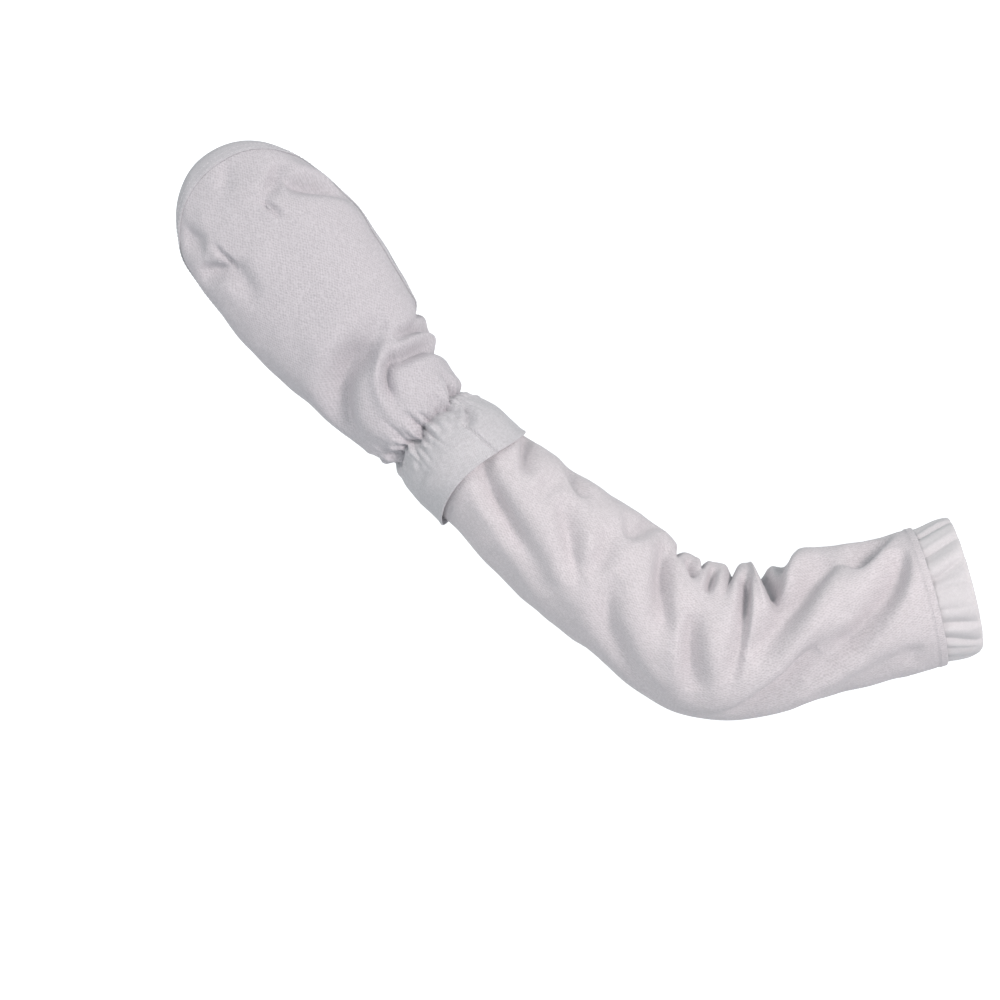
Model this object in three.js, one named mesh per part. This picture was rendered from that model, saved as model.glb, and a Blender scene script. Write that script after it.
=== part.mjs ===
// Sun protection arm sleeve with a hand cover, in the shape it takes on a bent arm.
// Millimetres, +Z up. The bent arm lies in the XZ plane, with +X towards the shoulder.
// The back of the hand faces -Y and the open palm faces +Y. The origin is the centre of
// the upper mouth. A place on the cloth is given by its distance along the arm line and
// its angle around it: 0 is the back of the hand, +90 the crook of the elbow and the thumb,
// -90 the point of the elbow and the little finger, and 180 the palm.

import * as THREE from "three";

// Thickness of the cloth, the elastic and the tape, and the gap between two pieces
const SLEEVE_WALL = 1.2;
const BAND_WALL = 2.0;
const CUFF_WALL = 1.4;
const COVER_WALL = 1.2;
const TAPE_WALL = 1.0;
const LOOP_WALL = 1.2;
const GAP = 0.45;

// Arm line, from the upper mouth to beyond the finger tips
const START_HEADING_DEG = 194.7;
const ARM_LINE = [
  { stretch: "upper arm", length: 123, turnDeg: 0 },
  { stretch: "elbow", length: 97, turnDeg: -55.9 },
  { stretch: "forearm", length: 163.5, turnDeg: 0 },
  { stretch: "wrist", length: 24, turnDeg: -9.2 },
  { stretch: "hand", length: 200, turnDeg: 0 },
];

// Where the pieces begin and end along the arm line
const BAND_END = 27;
const SLEEVE_START = 21;
const GATHER_LINE = 383.5;
const CUFF_HEM = 336;
const CUFF_HEM_BOW = 8;
const COVER_LENGTH = 218;
const PALM_NOTCH = 37;

// Tape round the palm opening, its free tail, and the loop for the middle finger
const TAPE_WIDTH = 8;
const TAIL_WIDTH = 7;
const TAIL_SLANT_DEG = 9;
const TAIL_MARGIN = 3;
const TAIL_LIFT = 1.0;
const LOOP_AT = 547;
const LOOP_CENTRE_ACROSS = -7.5;
const LOOP_HALF_SPAN = 20;
const LOOP_HEIGHT = 17;
const LOOP_WIDTH = 9;
const LOOP_TAB = 5;
const LOOP_CLEARANCE = 1.8;

// Mesh steps: columns go around the arm, rows along it
const SLEEVE_COLUMNS = 40;
const SLEEVE_ROWS = 37;
const BAND_COLUMNS = 36;
const CUFF_COLUMNS = 44;
const CUFF_ROWS = 5;
const COVER_COLUMNS = 44;
const COVER_ROWS = 18;
const TAIL_ROWS = 6;
const LOOP_STEPS = 18;

// Half sizes of the cloth from the arm line, at places along it
const BAND_SECTIONS = [
  { along: 0, crook: 40.0, elbow: 37.5, back: 38.0, palm: 38.0 },
  { along: 3, crook: 42.6, elbow: 41.5, back: 40.5, palm: 40.5 },
  { along: 12, crook: 42.6, elbow: 43.6, back: 41.0, palm: 41.0 },
  { along: 19, crook: 40.6, elbow: 42.4, back: 39.4, palm: 39.4 },
  { along: 27, crook: 40.0, elbow: 41.6, back: 38.8, palm: 38.8 },
];
const SLEEVE_SECTIONS = [
  { along: 20, crook: 42.8, elbow: 45.0, back: 42.0, palm: 42.0 },
  { along: 40, crook: 43.0, elbow: 45.4, back: 41.5, palm: 41.5 },
  { along: 70, crook: 43.0, elbow: 45.0, back: 41.0, palm: 41.0 },
  { along: 90, crook: 45.5, elbow: 44.8, back: 40.5, palm: 40.5 },
  { along: 120, crook: 44.0, elbow: 45.8, back: 40.0, palm: 40.0 },
  { along: 150, crook: 45.5, elbow: 49.7, back: 40.0, palm: 40.0 },
  { along: 170, crook: 47.0, elbow: 48.2, back: 40.0, palm: 40.0 },
  { along: 190, crook: 46.0, elbow: 43.6, back: 40.0, palm: 40.0 },
  { along: 213, crook: 45.6, elbow: 38.2, back: 40.0, palm: 40.0 },
  { along: 230, crook: 48.2, elbow: 39.7, back: 40.0, palm: 40.0 },
  { along: 255, crook: 45.4, elbow: 41.2, back: 39.5, palm: 39.5 },
  { along: 280, crook: 42.0, elbow: 40.5, back: 38.5, palm: 38.5 },
  { along: 305, crook: 39.0, elbow: 38.6, back: 37.5, palm: 37.5 },
  { along: 328, crook: 36.8, elbow: 35.6, back: 34.5, palm: 34.5 },
  { along: 340, crook: 34.6, elbow: 35.0, back: 33.0, palm: 33.0 },
  { along: 360, crook: 33.4, elbow: 33.6, back: 30.4, palm: 30.4 },
  { along: 372, crook: 29.8, elbow: 30.0, back: 25.2, palm: 25.2 },
  { along: 383, crook: 26.8, elbow: 26.8, back: 21.2, palm: 21.2 },
];
const CUFF_SECTIONS = [
  { along: 332, crook: 37.2, elbow: 39.2, back: 36.4, palm: 36.4 },
  { along: 345, crook: 37.8, elbow: 38.6, back: 36.2, palm: 36.2 },
  { along: 360, crook: 38.0, elbow: 38.0, back: 35.0, palm: 35.0 },
  { along: 370, crook: 35.6, elbow: 36.0, back: 31.5, palm: 31.5 },
  { along: 378, crook: 32.6, elbow: 32.6, back: 27.5, palm: 27.5 },
  { along: 384, crook: 31.6, elbow: 31.6, back: 26.2, palm: 26.2 },
];
const COVER_SECTIONS = [
  { along: 383, crook: 31.6, elbow: 31.6, back: 26.0, palm: 26.0 },
  { along: 396, crook: 35.0, elbow: 35.7, back: 27.5, palm: 26.5 },
  { along: 412, crook: 37.0, elbow: 40.2, back: 28.0, palm: 26.5 },
  { along: 428, crook: 41.2, elbow: 43.2, back: 28.0, palm: 26.0 },
  { along: 444, crook: 44.2, elbow: 45.4, back: 27.5, palm: 25.0 },
  { along: 468, crook: 50.0, elbow: 50.2, back: 26.5, palm: 23.0 },
  { along: 492, crook: 53.4, elbow: 52.4, back: 25.0, palm: 21.0 },
  { along: 516, crook: 55.4, elbow: 52.4, back: 23.5, palm: 19.0 },
  { along: 540, crook: 52.8, elbow: 50.8, back: 20.5, palm: 16.0 },
  { along: 556, crook: 49.2, elbow: 49.2, back: 17.5, palm: 13.0 },
  { along: 572, crook: 43.8, elbow: 42.4, back: 13.5, palm: 9.5 },
  { along: 588, crook: 34.4, elbow: 31.8, back: 8.8, palm: 6.0 },
  { along: 597, crook: 24.0, elbow: 21.0, back: 5.6, palm: 4.0 },
  { along: 605, crook: 8.0, elbow: 7.0, back: 2.0, palm: 2.0 },
];

// How far the palm opening's rim turns round from the back of the hand, at distances
// from the gather line, on the thumb's side and on the little finger's
const RIM_TURN = [
  { from: 37, crook: 180, elbow: 180 },
  { from: 60, crook: 116, elbow: 156 },
  { from: 82, crook: 104, elbow: 140 },
  { from: 110, crook: 103, elbow: 125 },
  { from: 135, crook: 109, elbow: 114 },
  { from: 165, crook: 107, elbow: 105 },
  { from: 190, crook: 92, elbow: 94 },
  { from: 204, crook: 82, elbow: 82 },
  { from: 218, crook: 80, elbow: 80 },
];

// Folds of the sleeve: valleys pressed into the cloth, each from one place through a middle
// place to another. A place is distance along the arm line, then angle around it.
const SLEEVE_FOLDS = [
  { fold: "upper mouth dent", from: [38, 64], via: [52, 48], to: [62, 36], width: 6, depth: 4.5 },
  { fold: "upper arm sweep", from: [33, 37], via: [47, -12], to: [92, -45], width: 8, depth: 3.5 },
  { fold: "upper arm diagonal", from: [78, 50], via: [102, 8], to: [132, -24], width: 8, depth: 4 },
  { fold: "lower arm diagonal", from: [95, -12], via: [122, -30], to: [152, -65], width: 8, depth: 3.5 },
  { fold: "under arm crease", from: [30, -38], via: [62, -63], to: [118, -88], width: 8, depth: 1.5 },
  { fold: "crook pocket", from: [97, 88], via: [109, 74], to: [117, 54], width: 10, depth: 9 },
  { fold: "crook notch", from: [121, 135], via: [120, 95], to: [117, 48], width: 6.5, depth: 8.5 },
  { fold: "crook fold", from: [126, 72], via: [138, 18], to: [149, -27], width: 6.5, depth: 6.5 },
  { fold: "crook dip 1", from: [148, 125], via: [148, 92], to: [150, 60], width: 6, depth: 6.5 },
  { fold: "crook spot", from: [172, 80], via: [168, 60], to: [165, 42], width: 6, depth: 5 },
  { fold: "elbow cross fold", from: [172, 24], via: [168, -7], to: [165, -42], width: 7, depth: 3.5 },
  { fold: "crook dip 2", from: [183, 125], via: [182, 92], to: [186, 66], width: 6, depth: 4 },
  { fold: "crook dip 3", from: [192, 82], via: [200, 68], to: [208, 58], width: 6, depth: 4 },
  { fold: "crook dip 4", from: [213, 125], via: [212, 92], to: [212, 70], width: 6, depth: 3 },
  { fold: "forearm fold 1", from: [224, 66], via: [207, 40], to: [193, -2], width: 7.5, depth: 4 },
  { fold: "elbow hollow", from: [226, 10], via: [212, -26], to: [178, -67], width: 10, depth: 3.5 },
  { fold: "forearm nick", from: [232, 85], via: [234, 62], to: [237, 40], width: 6, depth: 4 },
  { fold: "forearm fold 2", from: [257, 57], via: [245, 32], to: [238, 2], width: 7, depth: 3.5 },
  { fold: "forearm fold 3", from: [289, 60], via: [268, 12], to: [247, -22], width: 8, depth: 3.5 },
  { fold: "forearm notch", from: [284, 115], via: [286, 85], to: [288, 58], width: 6.5, depth: 3.5 },
  { fold: "forearm long fold", from: [326, 25], via: [290, -20], to: [236, -59], width: 8, depth: 3 },
  { fold: "cuff dent", from: [346, 14], via: [330, 2], to: [304, -23], width: 7, depth: 4 },
  { fold: "cuff nick", from: [329, 82], via: [323, 60], to: [316, 35], width: 6.5, depth: 3.5 },
  { fold: "palm side upper 1", from: [40, 130], via: [55, 170], to: [85, 215], width: 9, depth: 2.5 },
  { fold: "palm side upper 2", from: [62, 118], via: [90, 160], to: [130, 212], width: 9, depth: 3.5 },
  { fold: "palm side crook", from: [112, 104], via: [122, 150], to: [150, 214], width: 8, depth: 5 },
  { fold: "palm side elbow", from: [184, 112], via: [176, 160], to: [167, 222], width: 8, depth: 3.5 },
  { fold: "palm side fore 1", from: [226, 112], via: [206, 160], to: [184, 216], width: 9, depth: 3.5 },
  { fold: "palm side fore 2", from: [264, 118], via: [246, 160], to: [214, 212], width: 9, depth: 3 },
  { fold: "palm side fore 3", from: [312, 120], via: [286, 170], to: [250, 222], width: 9, depth: 3 },
];
const CUFF_FOLDS = [
  { fold: "cuff hook", from: [366, 28], via: [369, 50], to: [381, 62], width: 6, depth: 2 },
];
const COVER_FOLDS = [
  { fold: "wrist hook", from: [424, 58], via: [428, 20], to: [412, -5], width: 8, depth: 3.5 },
  { fold: "wrist ridge", from: [446, 32], via: [436, 4], to: [408, -16], width: 8, depth: -2.5 },
  { fold: "wrist hollow", from: [449, 24], via: [440, -16], to: [408, -56], width: 9, depth: 4 },
  { fold: "thumb notch 1", from: [417, 125], via: [418, 84], to: [420, 46], width: 7, depth: 3.5 },
  { fold: "thumb notch 2", from: [443, 115], via: [441, 84], to: [434, 52], width: 7, depth: 3 },
  { fold: "loop tack 1", from: [539, 14], via: [549, 14], to: [559, 15], width: 7, depth: 2 },
  { fold: "loop tack 2", from: [536, -33], via: [545, -33], to: [555, -34], width: 7, depth: 2 },
  { fold: "finger fold 1", from: [536, 76], via: [546, 58], to: [556, 38], width: 8, depth: 3 },
  { fold: "finger fold 2", from: [575, 46], via: [567, 34], to: [558, 22], width: 8, depth: 2 },
  { fold: "finger fold 3", from: [534, -68], via: [543, -54], to: [551, -40], width: 8, depth: 2.5 },
  { fold: "finger fold 4", from: [537, -35], via: [524, -44], to: [504, -58], width: 9, depth: 2.5 },
];

// Ripples that the elastic draws into the cloth: how many go round, how deep they are at
// the drawn line, how far they reach from it, and how much they lean round for each millimetre
const BAND_RIPPLES = { count: 9, depth: 0.7, line: 10, reach: 22, leanDeg: 0.9 };
const CUFF_RIPPLES = { count: 11, depth: 1.5, line: GATHER_LINE, reach: 14, leanDeg: 0 };
const COVER_RIPPLES = { count: 11, depth: 1.5, line: GATHER_LINE, reach: 18, leanDeg: 0 };
const NO_RIPPLES = { count: 0, depth: 0, line: 0, reach: 1, leanDeg: 0 };

const BAND = { sections: BAND_SECTIONS, folds: [], ripples: BAND_RIPPLES };
const SLEEVE = { sections: SLEEVE_SECTIONS, folds: SLEEVE_FOLDS, ripples: NO_RIPPLES };
const CUFF = { sections: CUFF_SECTIONS, folds: CUFF_FOLDS, ripples: CUFF_RIPPLES };
const COVER = { sections: COVER_SECTIONS, folds: COVER_FOLDS, ripples: COVER_RIPPLES };

// Colours of the pale grey knit, the smoother cuff and elastic, and the tape
const KNIT = { color: 0xcfcdd1, roughness: 0.9, metalness: 0 };
const CUFF_KNIT = { color: 0xcbccd1, roughness: 0.9, metalness: 0 };
const TAPE = { color: 0xc6c5ca, roughness: 0.8, metalness: 0 };

// Steps along a fold's line, the radius at which angles are unrolled, the small step that a slope
// is measured over, and the share of the rim from which the tape turns into the palm seam's corner
const FOLD_STEPS = 16;
const MEAN_RADIUS = 43;
const SLOPE_STEP = 0.5;
const RIM_STEP = 0.02;
const CORNER_START = 0.8;
const SEAM_SHARPNESS = 6;

const radians = THREE.MathUtils.degToRad;
const mix = THREE.MathUtils.lerp;

// A column of a table at a key, on a smooth curve through its rows
function tableValue(rows, keyColumn, column, key) {
  const last = rows.length - 1;
  let i = 0;
  while (i < last - 1 && key > rows[i + 1][keyColumn]) i += 1;
  const at = (k) => rows[Math.min(Math.max(k, 0), last)];
  const slope = (k) => {
    const rise = at(k + 1)[column] - at(k - 1)[column];
    return rise / (at(k + 1)[keyColumn] - at(k - 1)[keyColumn]);
  };
  const span = rows[i + 1][keyColumn] - rows[i][keyColumn];
  const t = THREE.MathUtils.clamp((key - rows[i][keyColumn]) / span, 0, 1);
  const rise = t * t * (3 - 2 * t);
  const bend = slope(i) * (1 - t) - slope(i + 1) * t;
  return mix(rows[i][column], rows[i + 1][column], rise) + bend * span * t * (1 - t);
}

// Centre of the arm line and the direction towards the crook, at a distance along it
function armFrame(along) {
  let heading = radians(START_HEADING_DEG);
  const centre = new THREE.Vector3();
  let left = along;
  for (const { length, turnDeg } of ARM_LINE) {
    const walked = Math.min(Math.max(left, 0), length);
    const turn = (radians(turnDeg) * walked) / length;
    const chord = turn === 0 ? walked : (walked * Math.sin(turn / 2)) / (turn / 2);
    centre.x += chord * Math.cos(heading + turn / 2);
    centre.z += chord * Math.sin(heading + turn / 2);
    heading += turn;
    left -= length;
  }
  const crook = new THREE.Vector3(Math.sin(heading), 0, -Math.cos(heading));
  const ahead = new THREE.Vector3(Math.cos(heading), 0, Math.sin(heading));
  return { centre, crook, ahead };
}

// Each fold is a smooth line on the unrolled cloth
function foldLine({ from, via, to }) {
  const flat = ([along, around]) => new THREE.Vector2(along, radians(around) * MEAN_RADIUS);
  return new THREE.SplineCurve([flat(from), flat(via), flat(to)]).getPoints(FOLD_STEPS);
}
for (const cloth of [SLEEVE, CUFF, COVER]) {
  for (const row of cloth.folds) row.line = foldLine(row);
}

// Depth of the folds at a place: a soft valley across each line, fading out at its ends
function foldDepth(folds, along, around) {
  let depth = 0;
  for (const row of folds) {
    let deepest = 0;
    for (const turn of [-360, 0, 360]) {
      const place = new THREE.Vector2(along, radians(around + turn) * MEAN_RADIUS);
      row.line.forEach((point, i) => {
        const fade = Math.sin((Math.PI * (i + 1)) / (FOLD_STEPS + 2));
        const across = place.distanceTo(point) / row.width;
        deepest = Math.max(deepest, Math.sqrt(fade) * Math.exp(-across * across));
      });
    }
    depth += row.depth * deepest;
  }
  return depth;
}

// Height of the ripples at a place, fading out away from the drawn line
function rippleHeight({ count, depth, line, reach, leanDeg }, along, around) {
  const away = (along - line) / reach;
  const turned = around + leanDeg * (along - line);
  return depth * Math.exp(-away * away) * Math.cos(count * radians(turned));
}

function halfSize(cloth, side, along) {
  return tableValue(cloth.sections, "along", side, along);
}

// A point on a cloth's outer face: an oval of four quarters, with its folds and ripples
function clothPoint(cloth, along, around) {
  const { centre, crook } = armFrame(along);
  const sine = Math.sin(radians(around));
  const cosine = Math.cos(radians(around));
  const wide = halfSize(cloth, sine > 0 ? "crook" : "elbow", along);
  const deep = halfSize(cloth, cosine > 0 ? "back" : "palm", along);
  const raised = rippleHeight(cloth.ripples, along, around) - foldDepth(cloth.folds, along, around);
  centre.addScaledVector(crook, (wide + raised) * sine);
  centre.y -= (deep + raised) * cosine;
  return centre;
}

// The cloth's outward direction, from the slopes along and around it
function clothNormal(cloth, along, around) {
  const ahead = clothPoint(cloth, along + SLOPE_STEP, around);
  ahead.sub(clothPoint(cloth, along - SLOPE_STEP, around));
  const aside = clothPoint(cloth, along, around + SLOPE_STEP);
  aside.sub(clothPoint(cloth, along, around - SLOPE_STEP));
  return aside.cross(ahead).normalize();
}

// A point at a height above the cloth's outer face, or below it where the height is negative
function raisedPoint(cloth, { along, around }, height) {
  const point = clothPoint(cloth, along, around);
  return point.addScaledVector(clothNormal(cloth, along, around), height);
}

// A closed skin through rings of points. The rings close on themselves, and the last one
// either joins the first or, with the first, is filled by a flat cap.
function skin(rings, capped) {
  const columns = rings[0].length;
  const points = rings.flat();
  const faces = [];
  const joined = capped ? rings.length - 1 : rings.length;
  for (let i = 0; i < joined; i += 1) {
    for (let j = 0; j < columns; j += 1) {
      const a = i * columns + j;
      const b = i * columns + ((j + 1) % columns);
      const c = ((i + 1) % rings.length) * columns + ((j + 1) % columns);
      const d = ((i + 1) % rings.length) * columns + j;
      faces.push(a, b, c, a, c, d);
    }
  }
  if (capped) {
    const end = (rings.length - 1) * columns;
    for (let j = 1; j < columns - 1; j += 1) {
      faces.push(0, j + 1, j, end, end + j, end + j + 1);
    }
  }
  return facedOut(points, faces);
}

// The skin as a geometry, turned round if its volume comes out negative
function facedOut(points, faces) {
  let volume = 0;
  for (let k = 0; k < faces.length; k += 3) {
    const [a, b, c] = [points[faces[k]], points[faces[k + 1]], points[faces[k + 2]]];
    volume += a.dot(b.clone().cross(c));
  }
  const geometry = new THREE.BufferGeometry().setFromPoints(points);
  geometry.setIndex(volume > 0 ? faces : faces.reverse());
  geometry.computeVertexNormals();
  return geometry;
}

// A cloth wall: out along its outer face, over the end, and back along its inner face
function clothWall(cloth, stations, wall) {
  const outer = stations.map((row) => row.map((place) => raisedPoint(cloth, place, 0)));
  const inner = stations.map((row) => row.map((place) => raisedPoint(cloth, place, -wall)));
  return skin([...outer, ...inner.reverse()], false);
}

// Places in rows along the arm from a start to an end, which may differ round the arm
function tubeStations(rows, columns, startAt, endAt) {
  return Array.from({ length: rows + 1 }, (_, i) =>
    Array.from({ length: columns }, (_unused, j) => {
      const around = -180 + (360 * j) / columns;
      return { along: mix(startAt(around), endAt(around), i / rows), around };
    })
  );
}

// The hem of the turned-up cuff bows towards the hand on the back of the wrist
function cuffHem(around) {
  const facing = Math.max(Math.cos(radians(around)), 0);
  return CUFF_HEM + CUFF_HEM_BOW * facing * facing;
}

// The palm opening on the unrolled hand cover. sweep runs round the rim: 0 at the finger
// tips, +1 and -1 where it meets the palm seam. from is the distance from the gather line and
// across the distance from the back's middle line, both on the flat cloth.
function sideOf(sweep) {
  return sweep < 0 ? "elbow" : "crook";
}
function rimPlace(sweep) {
  const middle = (COVER_LENGTH + PALM_NOTCH) / 2;
  const from = middle + (COVER_LENGTH - middle) * Math.cos(Math.PI * sweep);
  const turn = tableValue(RIM_TURN, "from", sideOf(sweep), from);
  const across = (halfSize(COVER, sideOf(sweep), GATHER_LINE + from) * turn) / 90;
  return new THREE.Vector2(from, Math.sign(sweep) * across);
}

// The same, moved in from the rim by the given distance, square to it
function insetPlace(sweep, inset) {
  const before = rimPlace(Math.max(sweep - RIM_STEP, -1));
  const after = rimPlace(Math.min(sweep + RIM_STEP, 1));
  const along = after.sub(before).normalize();
  const inward = new THREE.Vector2(-along.y, along.x);
  const corner = THREE.MathUtils.smoothstep(Math.abs(sweep), CORNER_START, 1);
  inward.lerp(new THREE.Vector2(-1, 0), corner).normalize();
  return rimPlace(sweep).addScaledVector(inward, inset);
}

// A place on the unrolled hand cover turned into one along and around the arm. Near the palm
// seam the angle is drawn out so that both sides meet at 180.
function coverPlace(flat, sweep, flatAtSeam) {
  const turnOf = (place) => (90 * place.y) / halfSize(COVER, sideOf(sweep), GATHER_LINE + place.x);
  const draw = 180 / Math.abs(turnOf(flatAtSeam)) - 1;
  const around = turnOf(flat) * (1 + draw * Math.abs(sweep) ** SEAM_SHARPNESS);
  return { along: GATHER_LINE + GAP + flat.x, around };
}
function insetStation(sweep, inset) {
  const seam = sweep < 0 ? -1 : 1;
  return coverPlace(insetPlace(sweep, inset), sweep, insetPlace(seam, inset));
}

// Rows of places on the hand cover, from the gather line to the tape's inner edge and the rim
const COVER_SWEEPS = Array.from({ length: COVER_COLUMNS }, (_, j) => -1 + (2 * j) / COVER_COLUMNS);
function coverStations() {
  const wristPlace = (sweep) => {
    const across = 2 * sweep * halfSize(COVER, sideOf(sweep), GATHER_LINE);
    return new THREE.Vector2(0, across);
  };
  const rows = Array.from({ length: COVER_ROWS }, (_, i) =>
    COVER_SWEEPS.map((sweep) => {
      const reach = i / (COVER_ROWS - 1);
      const seam = sweep < 0 ? -1 : 1;
      const place = (at) => wristPlace(at).lerp(insetPlace(at, TAPE_WIDTH + GAP), reach);
      return coverPlace(place(sweep), sweep, place(seam));
    })
  );
  rows.push(COVER_SWEEPS.map((sweep) => insetStation(sweep, 0)));
  return rows;
}

function sleeveGeometry() {
  const end = GATHER_LINE - GAP;
  const stations = tubeStations(SLEEVE_ROWS, SLEEVE_COLUMNS, () => SLEEVE_START, () => end);
  return clothWall(SLEEVE, stations, SLEEVE_WALL);
}

function topBandGeometry() {
  const rows = BAND_SECTIONS.map(({ along }) => Math.min(along, BAND_END));
  const [ring] = tubeStations(1, BAND_COLUMNS, () => 0, () => 1);
  const stations = rows.map((along) => ring.map(({ around }) => ({ along, around })));
  return clothWall(BAND, stations, BAND_WALL);
}

function wristCuffGeometry() {
  const stations = tubeStations(CUFF_ROWS, CUFF_COLUMNS, cuffHem, () => GATHER_LINE);
  return clothWall(CUFF, stations, CUFF_WALL);
}

function handCoverGeometry() {
  return clothWall(COVER, coverStations(), COVER_WALL);
}

// Folded tape over the rim: a U whose legs lie on both faces of the cloth
function edgeBindingGeometry() {
  const over = GAP + TAPE_WALL;
  const under = -COVER_WALL - GAP;
  const profile = [
    { inset: TAPE_WIDTH, height: GAP },
    { inset: -GAP, height: GAP },
    { inset: -GAP, height: under },
    { inset: TAPE_WIDTH, height: under },
    { inset: TAPE_WIDTH, height: under - TAPE_WALL },
    { inset: -over, height: under - TAPE_WALL },
    { inset: -over, height: over },
    { inset: TAPE_WIDTH, height: over },
  ];
  const rings = profile.map(({ inset, height }) =>
    COVER_SWEEPS.map((sweep) => raisedPoint(COVER, insetStation(sweep, inset), height))
  );
  return skin(rings, false);
}

// Free end of the tape, laid beside the palm seam from the notch to the gather line
function bindingTailGeometry() {
  const end = PALM_NOTCH - TAPE_WIDTH - TAIL_MARGIN;
  const halfTurn = THREE.MathUtils.radToDeg(TAIL_WIDTH / 2 / halfSize(COVER, "palm", GATHER_LINE));
  const rings = Array.from({ length: TAIL_ROWS + 1 }, (_, i) => {
    const t = i / TAIL_ROWS;
    const along = GATHER_LINE + mix(TAIL_MARGIN, end, t);
    const middle = -180 + TAIL_SLANT_DEG * (1 - t);
    const corner = (side, height) => {
      const around = middle + side * halfTurn;
      return raisedPoint(COVER, { along, around }, height);
    };
    const top = TAIL_LIFT + TAPE_WALL;
    return [corner(-1, TAIL_LIFT), corner(1, TAIL_LIFT), corner(1, top), corner(-1, top)];
  });
  return skin(rings, true);
}

// Elastic loop inside the hand cover: an arch over the finger, with a flat tab at each foot
function fingerLoopGeometry() {
  const { centre, crook, ahead } = armFrame(LOOP_AT);
  const across = (n) => centre.clone().addScaledVector(crook, n);
  const innerFace = (n) => {
    const side = n > 0 ? "crook" : "elbow";
    const around = THREE.MathUtils.radToDeg(Math.asin(n / halfSize(COVER, side, LOOP_AT)));
    return raisedPoint(COVER, { along: LOOP_AT, around }, -COVER_WALL).y;
  };
  const footY = (n) => innerFace(n) + LOOP_CLEARANCE + LOOP_WALL / 2;
  const path = [];
  for (let i = 0; i <= LOOP_STEPS; i += 1) {
    const angle = Math.PI * (i / LOOP_STEPS);
    const n = LOOP_CENTRE_ACROSS + LOOP_HALF_SPAN * Math.cos(angle);
    const foot = footY(LOOP_CENTRE_ACROSS + LOOP_HALF_SPAN * Math.sign(Math.cos(angle)));
    path.push({ n, y: foot + LOOP_HEIGHT * Math.sin(angle) });
  }
  const tab = (side) => {
    const n = LOOP_CENTRE_ACROSS + side * (LOOP_HALF_SPAN + LOOP_TAB);
    return { n, y: footY(n) };
  };
  const places = [tab(1), ...path, tab(-1)];
  const rings = places.map((place, i) => {
    const before = places[Math.max(i - 1, 0)];
    const after = places[Math.min(i + 1, places.length - 1)];
    const out = new THREE.Vector2(-(after.y - before.y), after.n - before.n).normalize();
    const corner = (wide, thick) => {
      const point = across(place.n - (out.x * thick * LOOP_WALL) / 2);
      point.y = place.y - (out.y * thick * LOOP_WALL) / 2;
      return point.addScaledVector(ahead, (wide * LOOP_WIDTH) / 2);
    };
    return [corner(-1, -1), corner(1, -1), corner(1, 1), corner(-1, 1)];
  });
  return skin(rings, true);
}

const PIECES = [
  { name: "top_band", geometry: topBandGeometry(), finish: CUFF_KNIT },
  { name: "sleeve", geometry: sleeveGeometry(), finish: KNIT },
  { name: "wrist_cuff", geometry: wristCuffGeometry(), finish: CUFF_KNIT },
  { name: "hand_cover", geometry: handCoverGeometry(), finish: KNIT },
  { name: "edge_binding", geometry: edgeBindingGeometry(), finish: TAPE },
  { name: "binding_tail", geometry: bindingTailGeometry(), finish: TAPE },
  { name: "finger_loop", geometry: fingerLoopGeometry(), finish: TAPE },
];

const armSleeve = new THREE.Group();
armSleeve.name = "arm_sleeve";
for (const { name, geometry, finish } of PIECES) {
  const mesh = new THREE.Mesh(geometry, new THREE.MeshStandardMaterial(finish));
  mesh.name = name;
  armSleeve.add(mesh);
}

export default armSleeve;
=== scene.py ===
"""Sun protection arm sleeve with a hand cover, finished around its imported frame.

Each piece of cloth is a surface of two parameters on a numpy grid: the distance along the arm line in
millimetres and the angle around it in degrees. Angle 0 is the back of the hand, +90 the crook of the
elbow and the thumb, -90 the point of the elbow and the little finger, and 180 the palm.
"""
from collections import namedtuple

import bpy
import numpy as np
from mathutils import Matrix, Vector


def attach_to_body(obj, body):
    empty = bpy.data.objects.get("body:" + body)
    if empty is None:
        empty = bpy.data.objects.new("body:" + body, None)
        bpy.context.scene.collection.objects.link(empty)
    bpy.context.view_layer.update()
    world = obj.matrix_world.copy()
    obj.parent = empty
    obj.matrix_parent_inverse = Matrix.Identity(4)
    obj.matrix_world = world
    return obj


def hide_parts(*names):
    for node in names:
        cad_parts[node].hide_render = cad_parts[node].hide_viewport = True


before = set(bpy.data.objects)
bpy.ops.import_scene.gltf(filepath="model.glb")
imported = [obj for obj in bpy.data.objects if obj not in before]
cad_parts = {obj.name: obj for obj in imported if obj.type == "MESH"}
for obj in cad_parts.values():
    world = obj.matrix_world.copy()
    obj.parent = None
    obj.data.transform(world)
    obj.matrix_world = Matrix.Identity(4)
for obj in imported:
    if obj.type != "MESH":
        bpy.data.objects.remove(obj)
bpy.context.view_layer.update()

MM = 0.001

# Arm line: length in millimetres and turn in degrees of each stretch, from the upper mouth to the hand
START_HEADING = 194.7
Stretch = namedtuple("Stretch", "name length turn")
ARM_LINE = [
    Stretch("upper arm", 123, 0),
    Stretch("elbow", 97, -55.9),
    Stretch("forearm", 163.5, 0),
    Stretch("wrist", 24, -9.2),
    Stretch("hand", 200, 0),
]

# Where the pieces begin and end along the arm line
BAND_END = 27
SLEEVE_START = 23.5
HEM_END = 29
GATHER_LINE = 383.5
CUFF_HEM = 336
CUFF_HEM_BOW = 10
CUFF_BOW_TURN = -20
COVER_LENGTH = 217.3
TIP_START = 560
PALM_NOTCH = 37

# Closing seams of the sleeve and the cuff, in degrees around the arm
SEAM_TURN = 183
CUFF_SEAM_TURN = 26

# Thickness of the cloth, the elastic and the tape
SLEEVE_WALL = 0.9
BAND_WALL = 1.8
CUFF_WALL = 1.3
COVER_WALL = 0.9
TAPE_WALL = 0.6
LOOP_WALL = 1.1
SEAM_GAP = 0.06

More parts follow.
